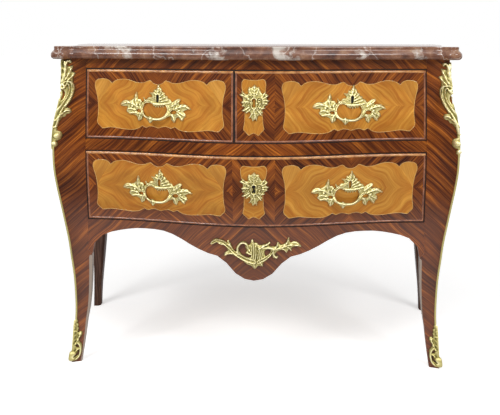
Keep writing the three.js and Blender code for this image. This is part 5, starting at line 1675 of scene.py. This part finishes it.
completeCorner(chute)
cast = castField(chute)
for word, side in sides.items():
    foot, outward, stretch = chute[word]
    mesh = castMesh(word + "_chute_cast", cast, layOnCorner(foot, side, outward, stretch), chute["sunk"])
    settle(word + "_corner_chute_casting", mesh, "carcass", [word + "_corner_chute"])

sabot = {
    "unit": 1,
    "step": 0.9,
    "sunk": 1.2,
    "grow": 0.4,
    "bright": 0.34,
    "body": 4.5,
    "edge": 3.5,
    "sideShare": 0.9,
    "half": [
        (-2, 3.5), (-8, 4.5), (-13, 7), (-17.5, 12), (-20, 20), (-21, 31), (-20.5, 41), (-18.5, 48),
        (-14.5, 53), (-12, 58), (-12, 64), (-16.5, 69), (-18.5, 75), (-17, 80.5), (-12.5, 82.5),
        (-9, 80.5), (-7.5, 85), (-8.5, 91), (-6.5, 96), (-7.5, 102), (-4.5, 107), (-5, 112), (-2.5, 117),
    ],
    "eyes": [
        [(-4.5, 46), (-11, 45), (-12, 41), (-8, 39.5), (-6.5, 43)],
        [(-5, 15), (-9, 17), (-13.5, 22), (-15, 29), (-12.5, 30), (-10.5, 24), (-6.5, 20)],
    ],
    "front": [
        dome([(-6, 7.5), (-13, 11), (-17.5, 19), (-18, 32), (-15, 44), (-9, 52)], 3.4, 7.5),
        dome([(-5, 26), (-9, 33), (-15, 36)], 2.6, 7),
        leaf([(-4, 48), (-9, 62), (-15, 76)], 6, 8),
        dome([(-13.5, 75.5), (-13, 75)], 4.2, 8),
    ],
    "arris": [
        leaf([(0, 44), (0, 80), (0, 117)], 8, 8, 6),
        dome([(0, 20), (0, 46)], 5.5, 7),
        dome([(0, 24), (0, 12)], 9, 13),
    ],
    "pearls": [(0, 84), (0, 92), (0, 100)],
    "pearlSize": (3.4, 8),
}
completeCorner(sabot)
cast = castField(sabot)
for word, side in sides.items():
    mesh = castMesh(word + "_sabot_cast", cast, layOnCorner(0, side), sabot["sunk"])
    settle(word + "_sabot_casting", mesh, "carcass", [word + "_sabot"])

# Slim bead down each front corner, from chute to sabot
cornerBead = {"foot": 112, "head": 612, "radius": 2.6, "sides": 12, "relief": 0.5, "steps": 120}
z = np.linspace(cornerBead["foot"], cornerBead["head"], cornerBead["steps"])
for word, side in sides.items():
    line = np.stack([side * cornerOut(z), cornerForward(z), z], -1)
    mesh = sweptLines(word + "_bead", [(line, False)], cornerBead["radius"], cornerBead["sides"], bronze)
    writeRelief(mesh, np.full(len(mesh.vertices), cornerBead["relief"]))
    settle(word + "_corner_bead_cast", mesh, "carcass", [word + "_corner_bead"])
print("corner mounts made")


# Solids that keep their shape and take their material here
plainNodes = {
    "x": [
        "back_bottom_rail",
        "back_top_rail",
        "sub_top",
        "dust_board",
        "bottom_board",
        "lower_drawer_front",
        "upper_left_drawer_front",
        "upper_right_drawer_front",
    ],
    "z": ["back_muntin", "right_back_panel", "left_back_panel"],
}
for name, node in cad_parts.items():
    axis = next((axis for axis, names in plainNodes.items() if name in names), "y")
    if "back" in name and "drawer" in name:
        axis = "x"
    if "lock" in name or "bolt" in name:
        finish = iron
    elif any(word in name for word in ("handle", "escutcheon", "mount", "chute", "sabot", "bead")):
        finish = bronze
    else:
        finish = oaks[axis]
    if not node.data.materials:
        node.data.materials.append(finish)
    for slot in node.material_slots:
        slot.material = finish
print("plain solids finished")


# Stage, light and camera: places and sizes in metres, power in watts, angles in radians
white = (1, 1, 1, 1)
ground = {"half": 30, "grey": 0.86, "distances": (0.7, 5), "glow": (0.46, 0.8)}


def groundMaterial():
    grey = ground["grey"]
    material, tree, shader = startMaterial(
        "paper_floor_matt", Roughness=0.9, Base_Color=(grey, grey, grey, 1), Emission_Color=white
    )
    # Brighter far from the object, so that the floor meets the white background without a line
    away = addNode(tree, "ShaderNodeVectorMath", {"operation": "LENGTH"}, {0: objectPlace(tree)})
    away = away.outputs["Value"]
    glow = ranged(tree, away, ground["distances"], ground["glow"], interpolation_type="SMOOTHSTEP")
    rays = addNode(tree, "ShaderNodeLightPath").outputs
    tree.links.new(maths(tree, "MULTIPLY", rays["Is Camera Ray"], glow), shader.inputs["Emission Strength"])
    return material


floorMesh = bpy.data.meshes.new("floor")
half = ground["half"]
corners = [(-half, -half, 0), (half, -half, 0), (half, half, 0), (-half, half, 0)]
floorMesh.from_pydata(corners, [], [(0, 1, 2, 3)])
floorMesh.materials.append(groundMaterial())
floor = bpy.data.objects.new("floor", floorMesh)
bpy.context.scene.collection.objects.link(floor)

world = bpy.data.worlds.new("studio")
bpy.context.scene.world = world
world.use_nodes = True
sky = world.node_tree
background = sky.nodes["Background"]
background.inputs["Color"].default_value = white
rays = addNode(sky, "ShaderNodeLightPath").outputs
# Metal and polish show the white background too
direct = maths(sky, "ADD", rays["Is Camera Ray"], rays["Is Glossy Ray"])
clear = maths(sky, "ADD", direct, rays["Is Transmission Ray"], clamp=True)
skyLight = (0.32, 1.0)
sky.links.new(ranged(sky, clear, (0, 1), skyLight), background.inputs["Strength"])

lamps = {
    "left_softbox": {"place": (-2.0, -2.5, 2.7), "aim": (0, -0.1, 0.5), "size": (1.4, 1.2), "power": 68},
    "right_softbox": {"place": (2.2, -2.4, 2.6), "aim": (0, -0.1, 0.5), "size": (1.4, 1.2), "power": 58},
    "overhead_softbox": {"place": (0, -1.0, 3.2), "aim": (0, 0, 0.6), "size": (2.4, 1.6), "power": 28},
}
for name, lamp in lamps.items():
    light = bpy.data.lights.new(name, "AREA")
    light.shape = "RECTANGLE"
    light.size, light.size_y = lamp["size"]
    light.energy = lamp["power"]
    holder = bpy.data.objects.new(name, light)
    holder.location = lamp["place"]
    aim = Vector(lamp["aim"]) - Vector(lamp["place"])
    holder.rotation_euler = aim.to_track_quat("-Z", "Y").to_euler()
    bpy.context.scene.collection.objects.link(holder)

# The camera stands a little right of the middle and looks slightly down
view = {
    "place": (0.0704, -2.2988, 0.9021),
    "yaw": 0.03925,
    "pitch": 0.1838,
    "roll": 0.00169,
    "lens": 57.6,
    "shift": -0.05,
}
camera = bpy.data.cameras.new("camera")
camera.lens = view["lens"]
camera.shift_y = view["shift"]
eye = bpy.data.objects.new("camera", camera)
yaw, pitch, roll = view["yaw"], view["pitch"], view["roll"]
ahead = Vector((-math.sin(yaw) * math.cos(pitch), math.cos(yaw) * math.cos(pitch), -math.sin(pitch)))
level = ahead.cross(Vector((0, 0, 1))).normalized()
upward = level.cross(ahead)
right = level * math.cos(roll) + upward * math.sin(roll)
upward = right.cross(ahead)
turned = Matrix((right, upward, -ahead)).transposed().to_4x4()
eye.matrix_world = Matrix.Translation(view["place"]) @ turned
bpy.context.scene.collection.objects.link(eye)
bpy.context.scene.camera = eye
bpy.context.scene.view_settings.view_transform = "Standard"
print("stage, light and camera set")
